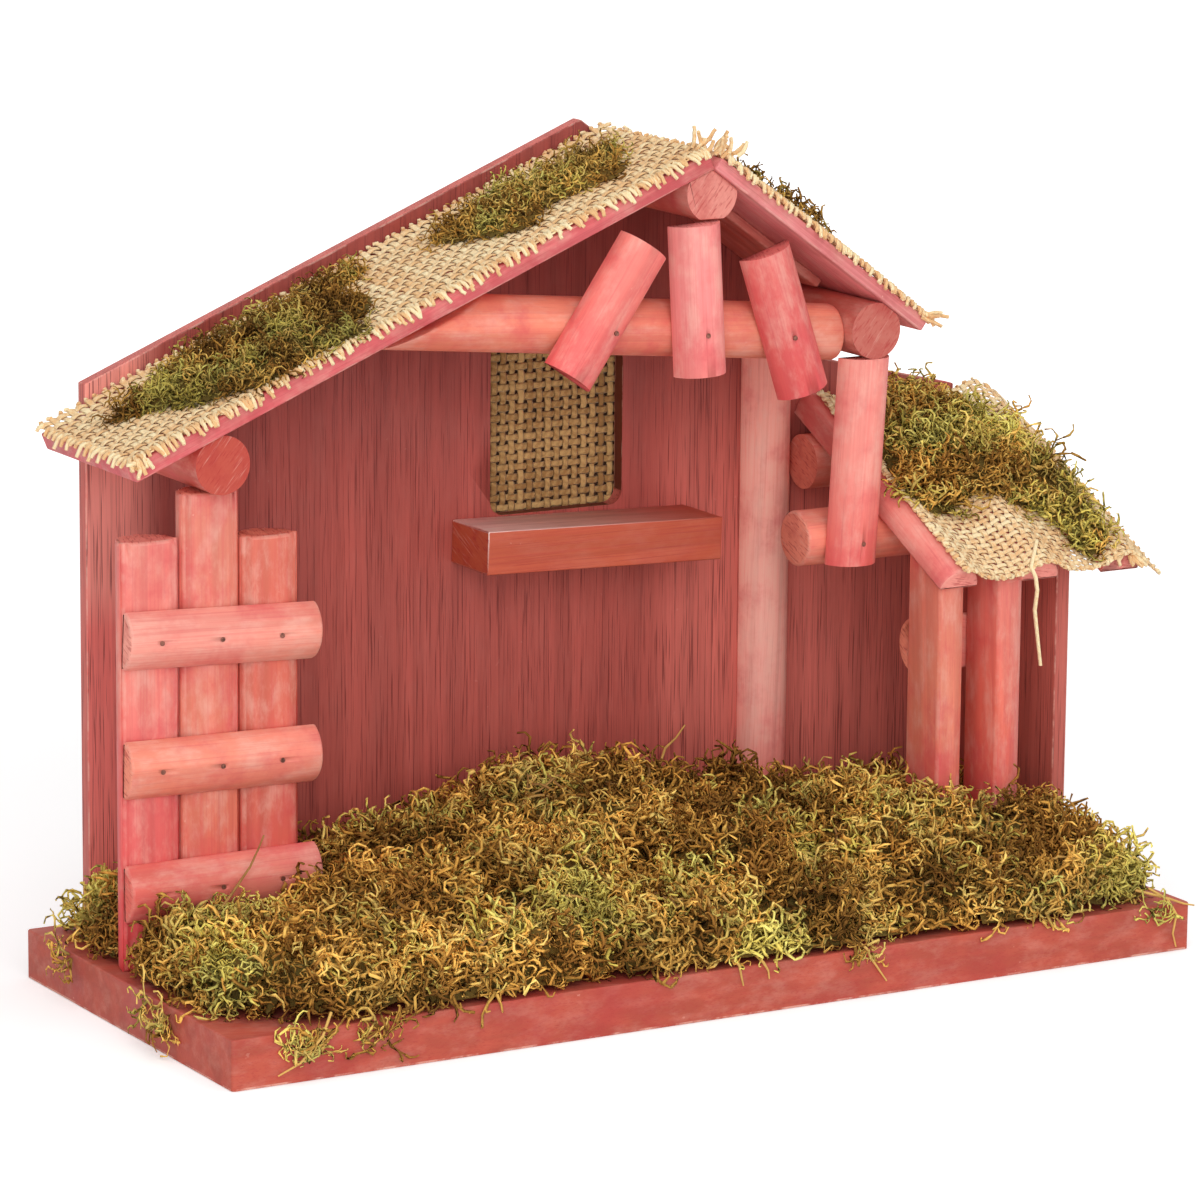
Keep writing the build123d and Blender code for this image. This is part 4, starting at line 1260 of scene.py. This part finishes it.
def frond_tree(fronds):
    """Fronds scattered over a bed of moss, turned by the lie of the bed."""
    nodes, given, result = new_group(
        "Scattered fronds",
        "GeometryNodeTree",
        {
            "Bed": "Geometry",
            "Density": 100000.0,
            "Frond length": 11.0 * MM,
            "Upright": 0.45,
            "Seed": 1,
            "Frond": "Material",
        },
        {"Fronds": "Geometry"},
    )
    seed = given["Seed"]
    sockets = {"Mesh": given["Bed"], "Density": given["Density"], "Seed": seed}
    spots = nodes.put("GeometryNodeDistributePointsOnFaces", sockets)
    normal = Value(nodes, spots.socket.node.outputs["Normal"])
    any_way = nodes.chance("FLOAT_VECTOR", (-1, -1, -1), (1, 1, 1), seed + 1)
    upright = nodes.scale(normal, given["Upright"])
    place = nodes.put("GeometryNodeInputPosition")
    drift = nodes.put("ShaderNodeTexNoise", {"Vector": place, "Scale": 62.0, "Detail": 1.0}, "Color")
    combed = nodes.vector("MULTIPLY", nodes.vector("SUBTRACT", drift, (0.5, 0.5, 0.5)), (7.0, 7.0, 2.5))
    lie = nodes.vector("ADD", nodes.named("droop", "FLOAT_VECTOR"), combed)
    heading = nodes.vector("ADD", nodes.vector("ADD", any_way, upright), lie)
    turned = nodes.put("FunctionNodeAlignRotationToVector", {"Vector": heading}, axis="Z")
    roll = nodes.chance("FLOAT", 0.0, 2 * math.pi, seed + 2)
    spin = nodes.put("FunctionNodeAxisAngleToRotation", {"Axis": (0, 0, 1), "Angle": roll})
    sockets = {"Rotation": turned, "Rotate By": spin}
    rotation = nodes.put("FunctionNodeRotateRotation", sockets, rotation_space="LOCAL")
    size = nodes.chance("FLOAT", 0.5, 1.6, seed + 3) * given["Frond length"]
    kinds = nodes.put("GeometryNodeJoinGeometry")
    for sprig in fronds:
        info = nodes.put("GeometryNodeObjectInfo", {"Object": sprig, "As Instance": True}, "Geometry")
        nodes.fill(kinds.socket.node, {0: info})
    sockets = {
        "Points": spots,
        "Instance": kinds,
        "Pick Instance": True,
        "Instance Index": nodes.chance("INT", 0, len(fronds) - 1, seed + 4),
        "Rotation": rotation,
        "Scale": size,
    }
    laid = nodes.put("GeometryNodeInstanceOnPoints", sockets)
    patches = nodes.ramp(nodes.clouds(place, 42.0, 3.0, 0.6), 0.36, 0.66)
    lone = nodes.chance("FLOAT", -0.2, 0.2, seed + 5)
    tint = patches + lone + nodes.named("shade", "FLOAT")
    marked = nodes.store(laid, "tint", tint, "INSTANCE")
    loose = nodes.put("GeometryNodeRealizeInstances", {"Geometry": marked})
    dressed = nodes.put("GeometryNodeSetMaterial", {"Geometry": loose, "Material": given["Frond"]})
    nodes.fill(result, {"Fronds": dressed})
    return nodes.tree


# Dried moss, from its brownest to its greenest
MOSS_TONES = (
    (0.0, (150, 104, 46)),
    (0.2, (204, 150, 68)),
    (0.4, (246, 194, 98)),
    (0.58, (238, 206, 116)),
    (0.76, (214, 192, 90)),
    (1.0, (232, 218, 118)),
)


def moss_colours_group():
    """Dried moss from dark brown through gold and olive to yellow-green, with painted shade that darkens each
    frond towards its root.
    """
    nodes, given, result = new_group(
        "Dried moss",
        "ShaderNodeTree",
        {"Place": "Vector", "Tint": 0.5, "Tip": 0.5, "Level": 1.0},
        {"Color": "Color", "Height": "Float"},
    )
    fine = nodes.clouds(given["Place"], 900.0, 2.0)
    tones = nodes.put("ShaderNodeValToRGB", {"Fac": given["Tint"] + (fine - 0.5) * 0.35})
    elements = tones.socket.node.color_ramp.elements
    for _ in MOSS_TONES[2:]:
        elements.new(0.5)
    for element, (position, levels) in zip(elements, MOSS_TONES):
        element.position = position
        element.color = rgba(srgb(*levels))
    clumps = nodes.ramp(nodes.clouds(given["Place"], 48.0, 2.0), 0.34, 0.66, 0.7, 1.25)
    # Painted shade: each frond is darker towards its root, where the fronds above shade it; Level and clumps
    # set its own lightness
    lightness_and_root_shade = nodes.ramp(given["Tip"], 0.0, 0.9, 0.42, 1.12) * given["Level"] * clumps
    nodes.fill(result, {"Color": nodes.scale(tones, lightness_and_root_shade), "Height": fine})
    return nodes.tree


def moss_material(name, level=None):
    """Moss on fronds of a level of lightness, or, with none, on the mat below them."""
    made, nodes, shader = new_material(name)
    place = nodes.place()
    if level:
        sockets = {"Tint": nodes.attribute("tint"), "Tip": nodes.attribute("tip"), "Level": level}
    else:
        sockets = {"Tint": nodes.clouds(place, 120.0, 4.0, 0.65), "Tip": 0.0, "Level": 1.0}
    tree = bpy.data.node_groups.get("Dried moss") or moss_colours_group()
    group = nodes.add("ShaderNodeGroup", {"Place": place, **sockets}, node_tree=tree)
    colour, height = (Value(nodes, socket) for socket in group.outputs)
    nodes.fill(shader, {"Base Color": colour, "Roughness": 0.85, "Specular IOR Level": 0.12})
    if not level:
        dark = nodes.vector("MULTIPLY", colour, (0.4, 0.38, 0.34))
        normal = nodes.bump(height, 1.0, 1.0 * MM)
        nodes.fill(shader, {"Base Color": dark, "Normal": normal, "Roughness": 0.95})
    return made


def bend_back(values, past, limit, share):
    """Brings values that are past a limit back to it, but for a share of how far they are past."""
    values[past] = limit + share * (values[past] - limit)


def keep_clear(piece, above=None):
    """Bends sprigs back from walls, roofs and the board's edges, and takes out those inside the board."""
    places = points_of(piece.data)
    x, y, z = places.T
    wall = WALL_FRONT - 0.4 * MM
    bend_back(y, y > wall, wall, -0.2)
    bend_back(x, (x > LEAN_SIDE_WALL) & (y > LEAN_WALL_FRONT) & (z < LEAN_WALL_TOP), LEAN_SIDE_WALL, -0.2)
    bend_back(y, y < BASE_FRONT, BASE_FRONT, 0.28)
    bend_back(x, x < -BASE_END, -BASE_END, 0.5)
    depths = np.stack((BASE_TOP - z, y - BASE_FRONT, x + BASE_END), axis=1)
    inside = (depths > 0).all(axis=1) & (x < BASE_END)
    shallow = inside & (depths.argmin(axis=1) == 0)
    z[shallow] = BASE_TOP + 0.1 * MM
    floor = 0.3 * MM
    z[z < floor] = floor
    if above:
        origin, up = np.array(above[0]), np.array(above[1])
        lift = (places - origin) @ up
        sunk = lift < 0
        places[sunk] += np.outer(0.15 * MM - lift[sunk], up)
    piece.data.vertices.foreach_set("co", places.ravel())
    buried = (inside & ~shallow).reshape(-1, SPRIG_POINTS).any(axis=1).repeat(SPRIG_POINTS)
    bm = opened(piece.data)
    bmesh.ops.delete(bm, geom=[vert for vert, gone in zip(bm.verts, buried) if gone], context="VERTS")
    closed(bm, piece.data)


# Edges of the moss on the roofs, as places down the slope and across it, in millimetres
PATCHES = {
    "lean_to_moss": (
        (1, 26), (1, 42), (8, 50), (26, 62), (46, 66), (62, 65), (78, 65), (93, 62),
        (92, 56), (78, 58), (68, 56), (62, 47), (57, 30), (64, 16), (58, 9), (44, 10), (28, 14), (12, 20),
    ),
    "left_eave_moss": (
        (197, 34), (189, 40), (178, 44), (160, 47), (140, 47), (124, 48), (112, 53), (100, 54), (98, 50),
        (107, 45), (118, 43), (120, 40), (115, 36), (112, 24), (116, 17), (126, 12), (124, 5), (130, 1),
        (138, 5), (146, 1), (163, 1), (163, 6), (174, 12), (184, 25), (188, 31),
    ),
    "left_ridge_moss": (
        (69, 42), (60, 46), (46, 45), (34, 46), (20, 47), (9, 45), (3, 41), (5, 37), (11, 34),
        (12, 26), (16, 17), (28, 18), (34, 22), (45, 20), (53, 13), (60, 19), (63, 27), (68, 33),
    ),
}

# Share of its solid's height that a patch keeps, and the least height of a patch
PATCH_SHARES = {"lean_to_moss": 0.45, "left_eave_moss": 0.5, "left_ridge_moss": 0.5}
PATCH_LEAST = 0.6 * MM

# How far the tuft near the ridge lies down the slope from its solid
RIDGE_SLIDE = 6 * MM

# What heights of moss are measured from, above a roof board and above the flats of the lean-to's slats
MOSS_LIFT = 1.8 * MM
LEAN_MOSS_LIFT = 6.0 * MM

# Where the lean-to's moss starts above the middle of its cloth
MOSS_ON_CLOTH = 0.6 * MM

# Thickness of a mat, and the share of moss around a place below which the mat ends
MAT_THICKNESS = 0.3 * MM
MAT_EDGE = 0.12


def in_patch(node, down, across):
    """Whether a place on a roof is inside its moss."""
    down, across = down / MM, across / MM
    edge = PATCHES[node]
    crossings = 0
    for (a, b), (c, d) in zip(edge, edge[1:] + edge[:1]):
        if (b > across) != (d > across) and down < a + (c - a) * (across - b) / (d - b):
            crossings += 1
    return crossings % 2 == 1


def close_mat(piece, up):
    """Gives a mat its underside, so that it is a closed skin."""
    bm = opened(piece.data)
    tops = bm.faces[:]
    rims = [edge.link_loops[0] for edge in bm.edges if edge.is_boundary]
    rims = [(loop.vert, loop.link_loop_next.vert) for loop in rims]
    below = {vert: bm.verts.new(vert.co - up * MAT_THICKNESS) for vert in bm.verts[:]}
    for first, second in rims:
        bm.faces.new((second, first, below[first], below[second]))
    for face in tops:
        bm.faces.new([below[vert] for vert in reversed(face.verts)])
    for face in bm.faces:
        face.smooth = True
    closed(bm, piece.data)


def softened(grid):
    """A grid of numbers, each the mean of itself and the eight around it."""
    columns, rows = grid.shape
    padded = np.pad(grid, 1, mode="edge")
    return sum(padded[a : a + columns, b : b + rows] for a in range(3) for b in range(3)) / 9


def new_bed():
    """An empty mesh with the layers that fronds grow by."""
    bm = bmesh.new()
    bm.verts.layers.float_vector.new("droop")
    bm.verts.layers.float.new("shade")
    return bm, bm.verts.layers.float_vector["droop"], bm.verts.layers.float["shade"]


# A bed of moss: its solid, the plane it lies on and where it starts, how wide and deep it is, the step of its
# mat, the height of its lumps, its fronds on a square centimetre, their length, the number of its lots of
# fronds, how far they lean down the slope, and how far they stand up
Bed = namedtuple("Bed", "node plane origin width depth step lumps count length lots comb upright")


def moss_field(bed, seed):
    """Heights of a moss solid over a plane, softened and made lumpy, as a mat with its edges tucked in."""
    node, plane, origin, step = bed.node, bed.plane, bed.origin, bed.step
    right, forward, up = plane.down, plane.along, plane.up
    bm = opened(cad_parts[node].data)
    solid = BVHTree.FromBMesh(bm)
    bm.free()
    columns = int(bed.width / step) + 1
    rows = int(bed.depth / step) + 1
    floors = np.zeros((columns, rows))
    if node == "lean_to_moss":
        floors += [slat_height(j * step) + MOSS_ON_CLOTH - LEAN_MOSS_LIFT for j in range(rows)]
    heights = floors.copy()
    inside = np.zeros((columns, rows))
    slide = RIDGE_SLIDE if node == "left_ridge_moss" else 0.0
    for i, j in np.ndindex(columns, rows):
        start = origin - right * slide + right * (i * step) + forward * (j * step) + up * 0.1
        hit = solid.ray_cast(start, -up)[0]
        if node in PATCHES:
            inside[i, j] = in_patch(node, i * step, j * step)
            deep = (hit - origin).dot(up) - floors[i, j] if hit is not None else 0.0
            heights[i, j] += inside[i, j] * max(PATCH_SHARES[node] * deep, PATCH_LEAST)
        elif hit is not None:
            heights[i, j] = (hit - origin).dot(up)
            inside[i, j] = 1
    for _ in range(3):
        heights = softened(heights)
        inside = softened(inside)
    bm, droop, shade = new_bed()
    verts = {}
    slope_x, slope_y = np.gradient(heights, step)
    for i, j in np.ndindex(columns, rows):
        if inside[i, j] < MAT_EDGE:
            continue
        spot = origin + right * (i * step) + forward * (j * step)
        bumpy = noise.fractal(spot * 62 + Vector((seed, 0, 0)), 1.0, 2.0, 3) * bed.lumps * inside[i, j]
        height = max(heights[i, j] + bumpy, floors[i, j] + MAT_THICKNESS)
        vert = bm.verts.new(spot + up * height)
        fall = right * -slope_x[i, j] + forward * -slope_y[i, j]
        swing = noise.noise(spot * 40 + Vector((0, seed, 0)))
        vert[droop] = fall * 0.5 + (right + forward * swing) * bed.comb
        vert[shade] = moss_shade(node, vert.co)
        verts[i, j] = vert
    for i, j in np.ndindex(columns - 1, rows - 1):
        corners = [verts.get(key) for key in ((i, j), (i + 1, j), (i + 1, j + 1), (i, j + 1))]
        if all(corners):
            bm.faces.new(corners)
    if not bm.faces:
        raise RuntimeError(f"no moss found on {node}")
    for face in bm.faces:
        face.smooth = True
    if right.cross(forward).dot(up) < 0:
        bmesh.ops.reverse_faces(bm, faces=bm.faces)
    return bm


def moss_shade(node, place):
    """How much greener or browner the moss is at a place."""
    if node == "moss_bed":
        return -0.12 - 0.25 * place.x - 0.3 * max(place.y, 0)
    return {"lean_to_moss": 0.04, "left_ridge_moss": 0.06}.get(node, -0.1)


def strip_of(mesh, part, parts):
    """The strip of a mat that one lot of fronds grows on."""
    bm = opened(mesh)
    low = min(vert.co.x for vert in bm.verts)
    high = max(vert.co.x for vert in bm.verts)
    strip = (high - low) / parts
    gone = []
    for face in bm.faces:
        if min(int((face.calc_center_median().x - low) / strip), parts - 1) != part:
            gone.append(face)
    bmesh.ops.delete(bm, geom=gone, context="FACES")
    out = bpy.data.meshes.new("strip")
    closed(bm, out)
    return out


# Sprigs over the base board's edges: a corner, the way along the edge, a width, how low, and a tone
HANGING = (
    ((-147, -71.0, 5), (1, 0, 0), 11, 5, -0.1),
    ((-124, -71.0, 8), (1, 0, 0), 9, 8, 0.0),
    ((40, -71.0, 13), (1, 0, 0), 9, 13, 0.1),
    ((148, -71.0, 13), (1, 0, 0), 12, 13, 0.0),
    ((-167.0, -22, 8), (0, -1, 0), 10, 8, 0.1),
    ((-167.0, -9, 11), (0, -1, 0), 8, 11, -0.2),
    ((-167.0, 46, 12), (0, -1, 0), 10, 12, 0.0),
)

# Loose strands and one twig, as points in millimetres
STRANDS = (
    ((44, -67, 18), (46, -71.2, 15.5), (48, -71, 12), (51, -70.8, 8), (53.6, -70.9, 4.4)),
    ((0, -67, 18), (1.5, -70.8, 15.8), (2.2, -71, 12), (3, -70.8, 9.4)),
    ((8.5, -67, 18), (9.9, -70.8, 15.6), (11.5, -71, 13), (12, -70.8, 10.4)),
    ((153, -66, 20), (157, -71, 17), (160, -71.5, 12), (159, -71.2, 6), (160.5, -71, 1.5)),
    ((148, -66, 20), (158, -70, 17), (163, -71, 15), (167, -71, 14)),
    ((-144, -12, 28), (-138, -6, 35), (-131, -1, 39), (-125, 0.5, 45), (-122, 1, 50), (-120, 1.2, 54)),
    ((-84, -66, 31), (-76, -61, 34), (-66, -53, 36), (-58, -46, 38)),
    ((-134, -69, 19), (-138, -71.5, 13), (-145, -71.3, 6), (-152, -71, 3)),
    ((50, 60, 42), (54, 62, 49), (58, 62, 52), (61, 61.5, 56)),
)

# Long strands that lie over the bed: how many, and the length of one step
STRAY_COUNT = 110
STRAY_STEP = 2.4 * MM


def strand_material():
    """Dry stalks, from brown to straw."""
    made, nodes, shader = new_material("moss strand")
    place = nodes.place()
    share = nodes.attribute("tone") + (nodes.clouds(place, 300.0) - 0.5)
    colour = nodes.blend(nodes.ramp(share, 0.0, 1.0), rgba(srgb(150, 106, 56)), rgba(srgb(226, 180, 96)))
    normal = nodes.bump(nodes.clouds(place, 1500.0), 0.5, 0.2 * MM)
    nodes.fill(shader, {"Base Color": colour, "Normal": normal, "Roughness": 0.85})
    return made


class STABLE_OT_moss(bpy.types.Operator):
    """Grow the moss bed and the tufts on the roofs, frond by frond"""

    bl_idname = "stable.moss"
    bl_label = "Moss"

    def execute(self, context):
        look = context.scene.stable_moss
        frond = moss_material("moss frond", 1.06)
        roof_frond = moss_material("roof moss frond", 0.74)
        own_fronds = {"moss_bed": frond, "lean_to_moss": moss_material("lean-to moss frond", 0.96)}
        mat = moss_material("moss mat")
        kinds = [bpy.data.objects.new(mesh.name, mesh) for mesh in frond_meshes(frond)]
        tree = frond_tree(kinds)
        tall = look.frond_length
        for number, bed in enumerate(self.beds(look, tall)):
            node, up = bed.node, bed.plane.up
            piece = finish_mesh(moss_field(bed, number * 3.7), f"{node}_mat", [mat])
            hand_over(piece, node)
            for part in range(bed.lots):
                values = {
                    "Density": bed.count * 10000.0,
                    "Frond length": bed.length,
                    "Upright": bed.upright,
                    "Seed": look.seed + number * 20 + part,
                    "Frond": own_fronds.get(node, roof_frond),
                }
                fronds = grow(f"{node}_fronds_{part + 1}", strip_of(piece.data, part, bed.lots), tree, values)
                keep_clear(fronds, None if node == "moss_bed" else (bed.origin - up * 0.6 * MM, up))
                hand_over(fronds)
            close_mat(piece, up)
        values = {
            "Density": 560000.0,
            "Frond length": tall * 1.05,
            "Upright": 1.5,
            "Seed": look.seed + 301,
            "Frond": frond,
        }
        hanging = grow("moss_hanging", self.hanging(), tree, values)
        keep_clear(hanging)
        paths = [[Vector(point) * MM for point in path] for path in STRANDS] + self.strays()
        values = {"Yarn width": 0.95 * MM, "Tip share": 0.55, "Yarn": strand_material()}
        strands = grow("moss_strands", yarn_paths(paths), tube_tree(), values)
        for piece in (hanging, strands):
            hand_over(piece)
        for kind in kinds:
            bpy.data.objects.remove(kind)
        return {"FINISHED"}

    def beds(self, look, tall):
        """The bed on the base board and the tufts on the roofs."""
        board = Slope(Vector((-BASE_END, BASE_FRONT, BASE_TOP)), NORTH, EAST, 0.0)
        front = ROOF_FRONT + 1 * MM
        eave = LEFT_ROOF.at(0, front, LEFT_BOARD + MOSS_LIFT)
        ridge = LEFT_ROOF.at(RIDGE_SLIDE, front, LEFT_BOARD + MOSS_LIFT)
        right = RIGHT_ROOF.at(0, front, RIGHT_BOARD + MOSS_LIFT)
        lean = LEAN_TO.at(0, 0, LEAN_MOSS_LIFT)
        board_mat = (2 * BASE_END, BASE_DEPTH, 2.0 * MM, 3.5 * MM)
        left_mat = (209 * MM, 61 * MM, 1.6 * MM, 1.6 * MM)
        right_mat = (93 * MM, 61 * MM, 1.6 * MM, 1.2 * MM)
        lean_mat = (97 * MM, 80 * MM, 1.6 * MM, 1.6 * MM)
        few = look.tuft_count
        many = few * 1.2
        return (
            Bed("moss_bed", board, board.start, *board_mat, look.bed_count, tall, 8, 0.0, 0.35),
            Bed("left_eave_moss", LEFT_ROOF, eave, *left_mat, many, tall * 0.62, 1, 0.9, 0.05),
            Bed("left_ridge_moss", LEFT_ROOF, ridge, *left_mat, many, tall * 0.62, 1, 0.7, 0.05),
            Bed("right_roof_moss", RIGHT_ROOF, right, *right_mat, few, tall * 0.7, 1, 0.7, 0.1),
            Bed("lean_to_moss", LEAN_TO, lean, *lean_mat, few, tall * 0.85, 1, 0.5, 0.2),
        )

    def strays(self):
        """Long strands that lie over the bed."""
        bm = opened(bpy.data.objects["moss_bed_mat"].data)
        bed = BVHTree.FromBMesh(bm)
        bm.free()
        chance = random.Random(77)
        paths = []
        while len(paths) < STRAY_COUNT:
            place = Vector((chance.uniform(-150, 150) * MM, chance.uniform(-64, 40) * MM, 0.1))
            heading = chance.uniform(0, 2 * math.pi)
            bend = chance.uniform(-0.35, 0.35)
            path = []
            for _ in range(chance.randint(5, 11)):
                hit = bed.ray_cast(place, -UP)[0]
                if hit is None:
                    break
                path.append(hit + UP * chance.uniform(2.2, 3.8) * MM)
                heading += bend + chance.uniform(-0.35, 0.35)
                place = place + Vector((math.cos(heading), math.sin(heading), 0)) * STRAY_STEP
            if len(path) > 4:
                paths.append(path)
        return paths

    def hanging(self):
        """Small patches on the base board's edges that loose sprigs hang from."""
        bm, droop, shade = new_bed()
        for start, across, width, low, tone in HANGING:
            start = Vector(start) * MM
            across = Vector(across) * width * MM
            rise = UP * (BASE_TOP - low * MM)
            corners = (start, start + across, start + across + rise, start + rise)
            made = [bm.verts.new(corner) for corner in corners]
            for vert in made:
                vert[droop] = UP * -1.7
                vert[shade] = tone
            bm.faces.new(made)
        out = bpy.data.meshes.new("hanging")
        closed(bm, out)
        return out


# The camera that was fitted to the photo: its place in metres, its lens in millimetres and its turns
CAMERA_PLACE = (-0.86697, -1.48558, 0.46787)
CAMERA_SENSOR = 36.0
CAMERA_LENS = 173.35
CAMERA_YAW = 0.525
CAMERA_PITCH = 0.203
CAMERA_ROLL = 0.009


class STABLE_OT_stage(bpy.types.Operator):
    """Set the floor, the lights and the camera"""

    bl_idname = "stable.stage"
    bl_label = "Stage"

    def execute(self, context):
        look = context.scene.stable_stage
        scene = context.scene
        self.floor(look)
        # Each light's name, place, width and power
        lights = (
            ("key_light", (-0.85, -1.75, 0.85), 1.7, look.key_power),
            ("top_light", (0.0, -0.35, 1.9), 1.6, look.top_power),
            ("fill_light", (1.5, -1.3, 0.8), 1.2, look.fill_power),
        )
        for name, place, size, power in lights:
            lamp = bpy.data.lights.new(name, "AREA")
            lamp.shape = "SQUARE"
            lamp.size = size
            lamp.energy = power
            holder = bpy.data.objects.new(name, lamp)
            holder.location = place
            aim = Vector((0, 0, 0.1)) - Vector(place)
            holder.rotation_euler = aim.to_track_quat("-Z", "Y").to_euler()
            scene.collection.objects.link(holder)
        world = bpy.data.worlds.new("studio")
        world.use_nodes = True
        nodes = Nodes(world.node_tree)
        strength = nodes.seen() * (1.0 - look.sky_light) + look.sky_light
        nodes.fill(world.node_tree.nodes["Background"], {"Color": (1, 1, 1, 1), "Strength": strength})
        scene.world = world
        scene.camera = self.camera()
        scene.collection.objects.link(scene.camera)
        scene.view_settings.view_transform = "Standard"
        return {"FINISHED"}

    def floor(self, look):
        """White paper that glows a little where it is looked at, more so far away."""
        bm = bmesh.new()
        bmesh.ops.create_grid(bm, x_segments=8, y_segments=8, size=4.0)
        bmesh.ops.translate(bm, verts=bm.verts, vec=(0, 0, -0.2 * MM))
        paper, nodes, shader = new_material("floor paper")
        glow = nodes.ramp(nodes.length(nodes.place()), 0.3, 1.2, look.floor_glow, 0.9)
        sockets = {
            "Base Color": rgba(look.floor_colour),
            "Roughness": 0.9,
            "Specular IOR Level": 0.1,
            "Emission Color": (1, 1, 1, 1),
            "Emission Strength": nodes.seen() * glow,
        }
        nodes.fill(shader, sockets)
        finish_mesh(bm, "floor", [paper])

    def camera(self):
        """The camera, standing where the photo was taken from."""
        lens = bpy.data.cameras.new("camera")
        lens.sensor_fit = "HORIZONTAL"
        lens.sensor_width = CAMERA_SENSOR
        lens.lens = CAMERA_LENS
        level = Vector((math.cos(CAMERA_YAW), -math.sin(CAMERA_YAW), 0))
        north = Vector((math.sin(CAMERA_YAW), math.cos(CAMERA_YAW), 0))
        ahead = north * math.cos(CAMERA_PITCH) - UP * math.sin(CAMERA_PITCH)
        rise = level.cross(ahead)
        right = level * math.cos(CAMERA_ROLL) + rise * math.sin(CAMERA_ROLL)
        up = rise * math.cos(CAMERA_ROLL) - level * math.sin(CAMERA_ROLL)
        holder = bpy.data.objects.new("camera", lens)
        turn = Matrix((right, up, -ahead)).transposed().to_4x4()
        holder.matrix_world = Matrix.Translation(CAMERA_PLACE) @ turn
        return holder


class STABLE_PT_panel(bpy.types.Panel):
    """The stable's pieces"""

    bl_idname = "STABLE_PT_panel"
    bl_label = "Stable"
    bl_space_type = "VIEW_3D"
    bl_region_type = "UI"
    bl_category = "Stable"

    def draw(self, context):
        for operator in OPERATORS:
            self.layout.operator(operator.bl_idname)
        for name in GROUPS:
            group = getattr(context.scene, name)
            box = self.layout.box()
            for key in group.__annotations__:
                box.prop(group, key)


GROUPS = {
    "stable_wood": StableWood,
    "stable_burlap": StableBurlap,
    "stable_moss": StableMoss,
    "stable_stage": StableStage,
}
OPERATORS = (
    STABLE_OT_boards,
    STABLE_OT_logs,
    STABLE_OT_nails,
    STABLE_OT_burlap,
    STABLE_OT_moss,
    STABLE_OT_stage,
)
CLASSES = (*GROUPS.values(), *OPERATORS, STABLE_PT_panel)


def register():
    for kind in CLASSES:
        bpy.utils.register_class(kind)
    for name, group in GROUPS.items():
        setattr(bpy.types.Scene, name, bpy.props.PointerProperty(type=group))


def unregister():
    for name in GROUPS:
        delattr(bpy.types.Scene, name)
    for kind in reversed(CLASSES):
        bpy.utils.unregister_class(kind)


def main():
    register()
    bpy.ops.stable.boards()
    bpy.ops.stable.logs()
    bpy.ops.stable.nails()
    bpy.ops.stable.burlap()
    bpy.ops.stable.moss()
    bpy.ops.stable.stage()


if __name__ == "__main__":
    main()
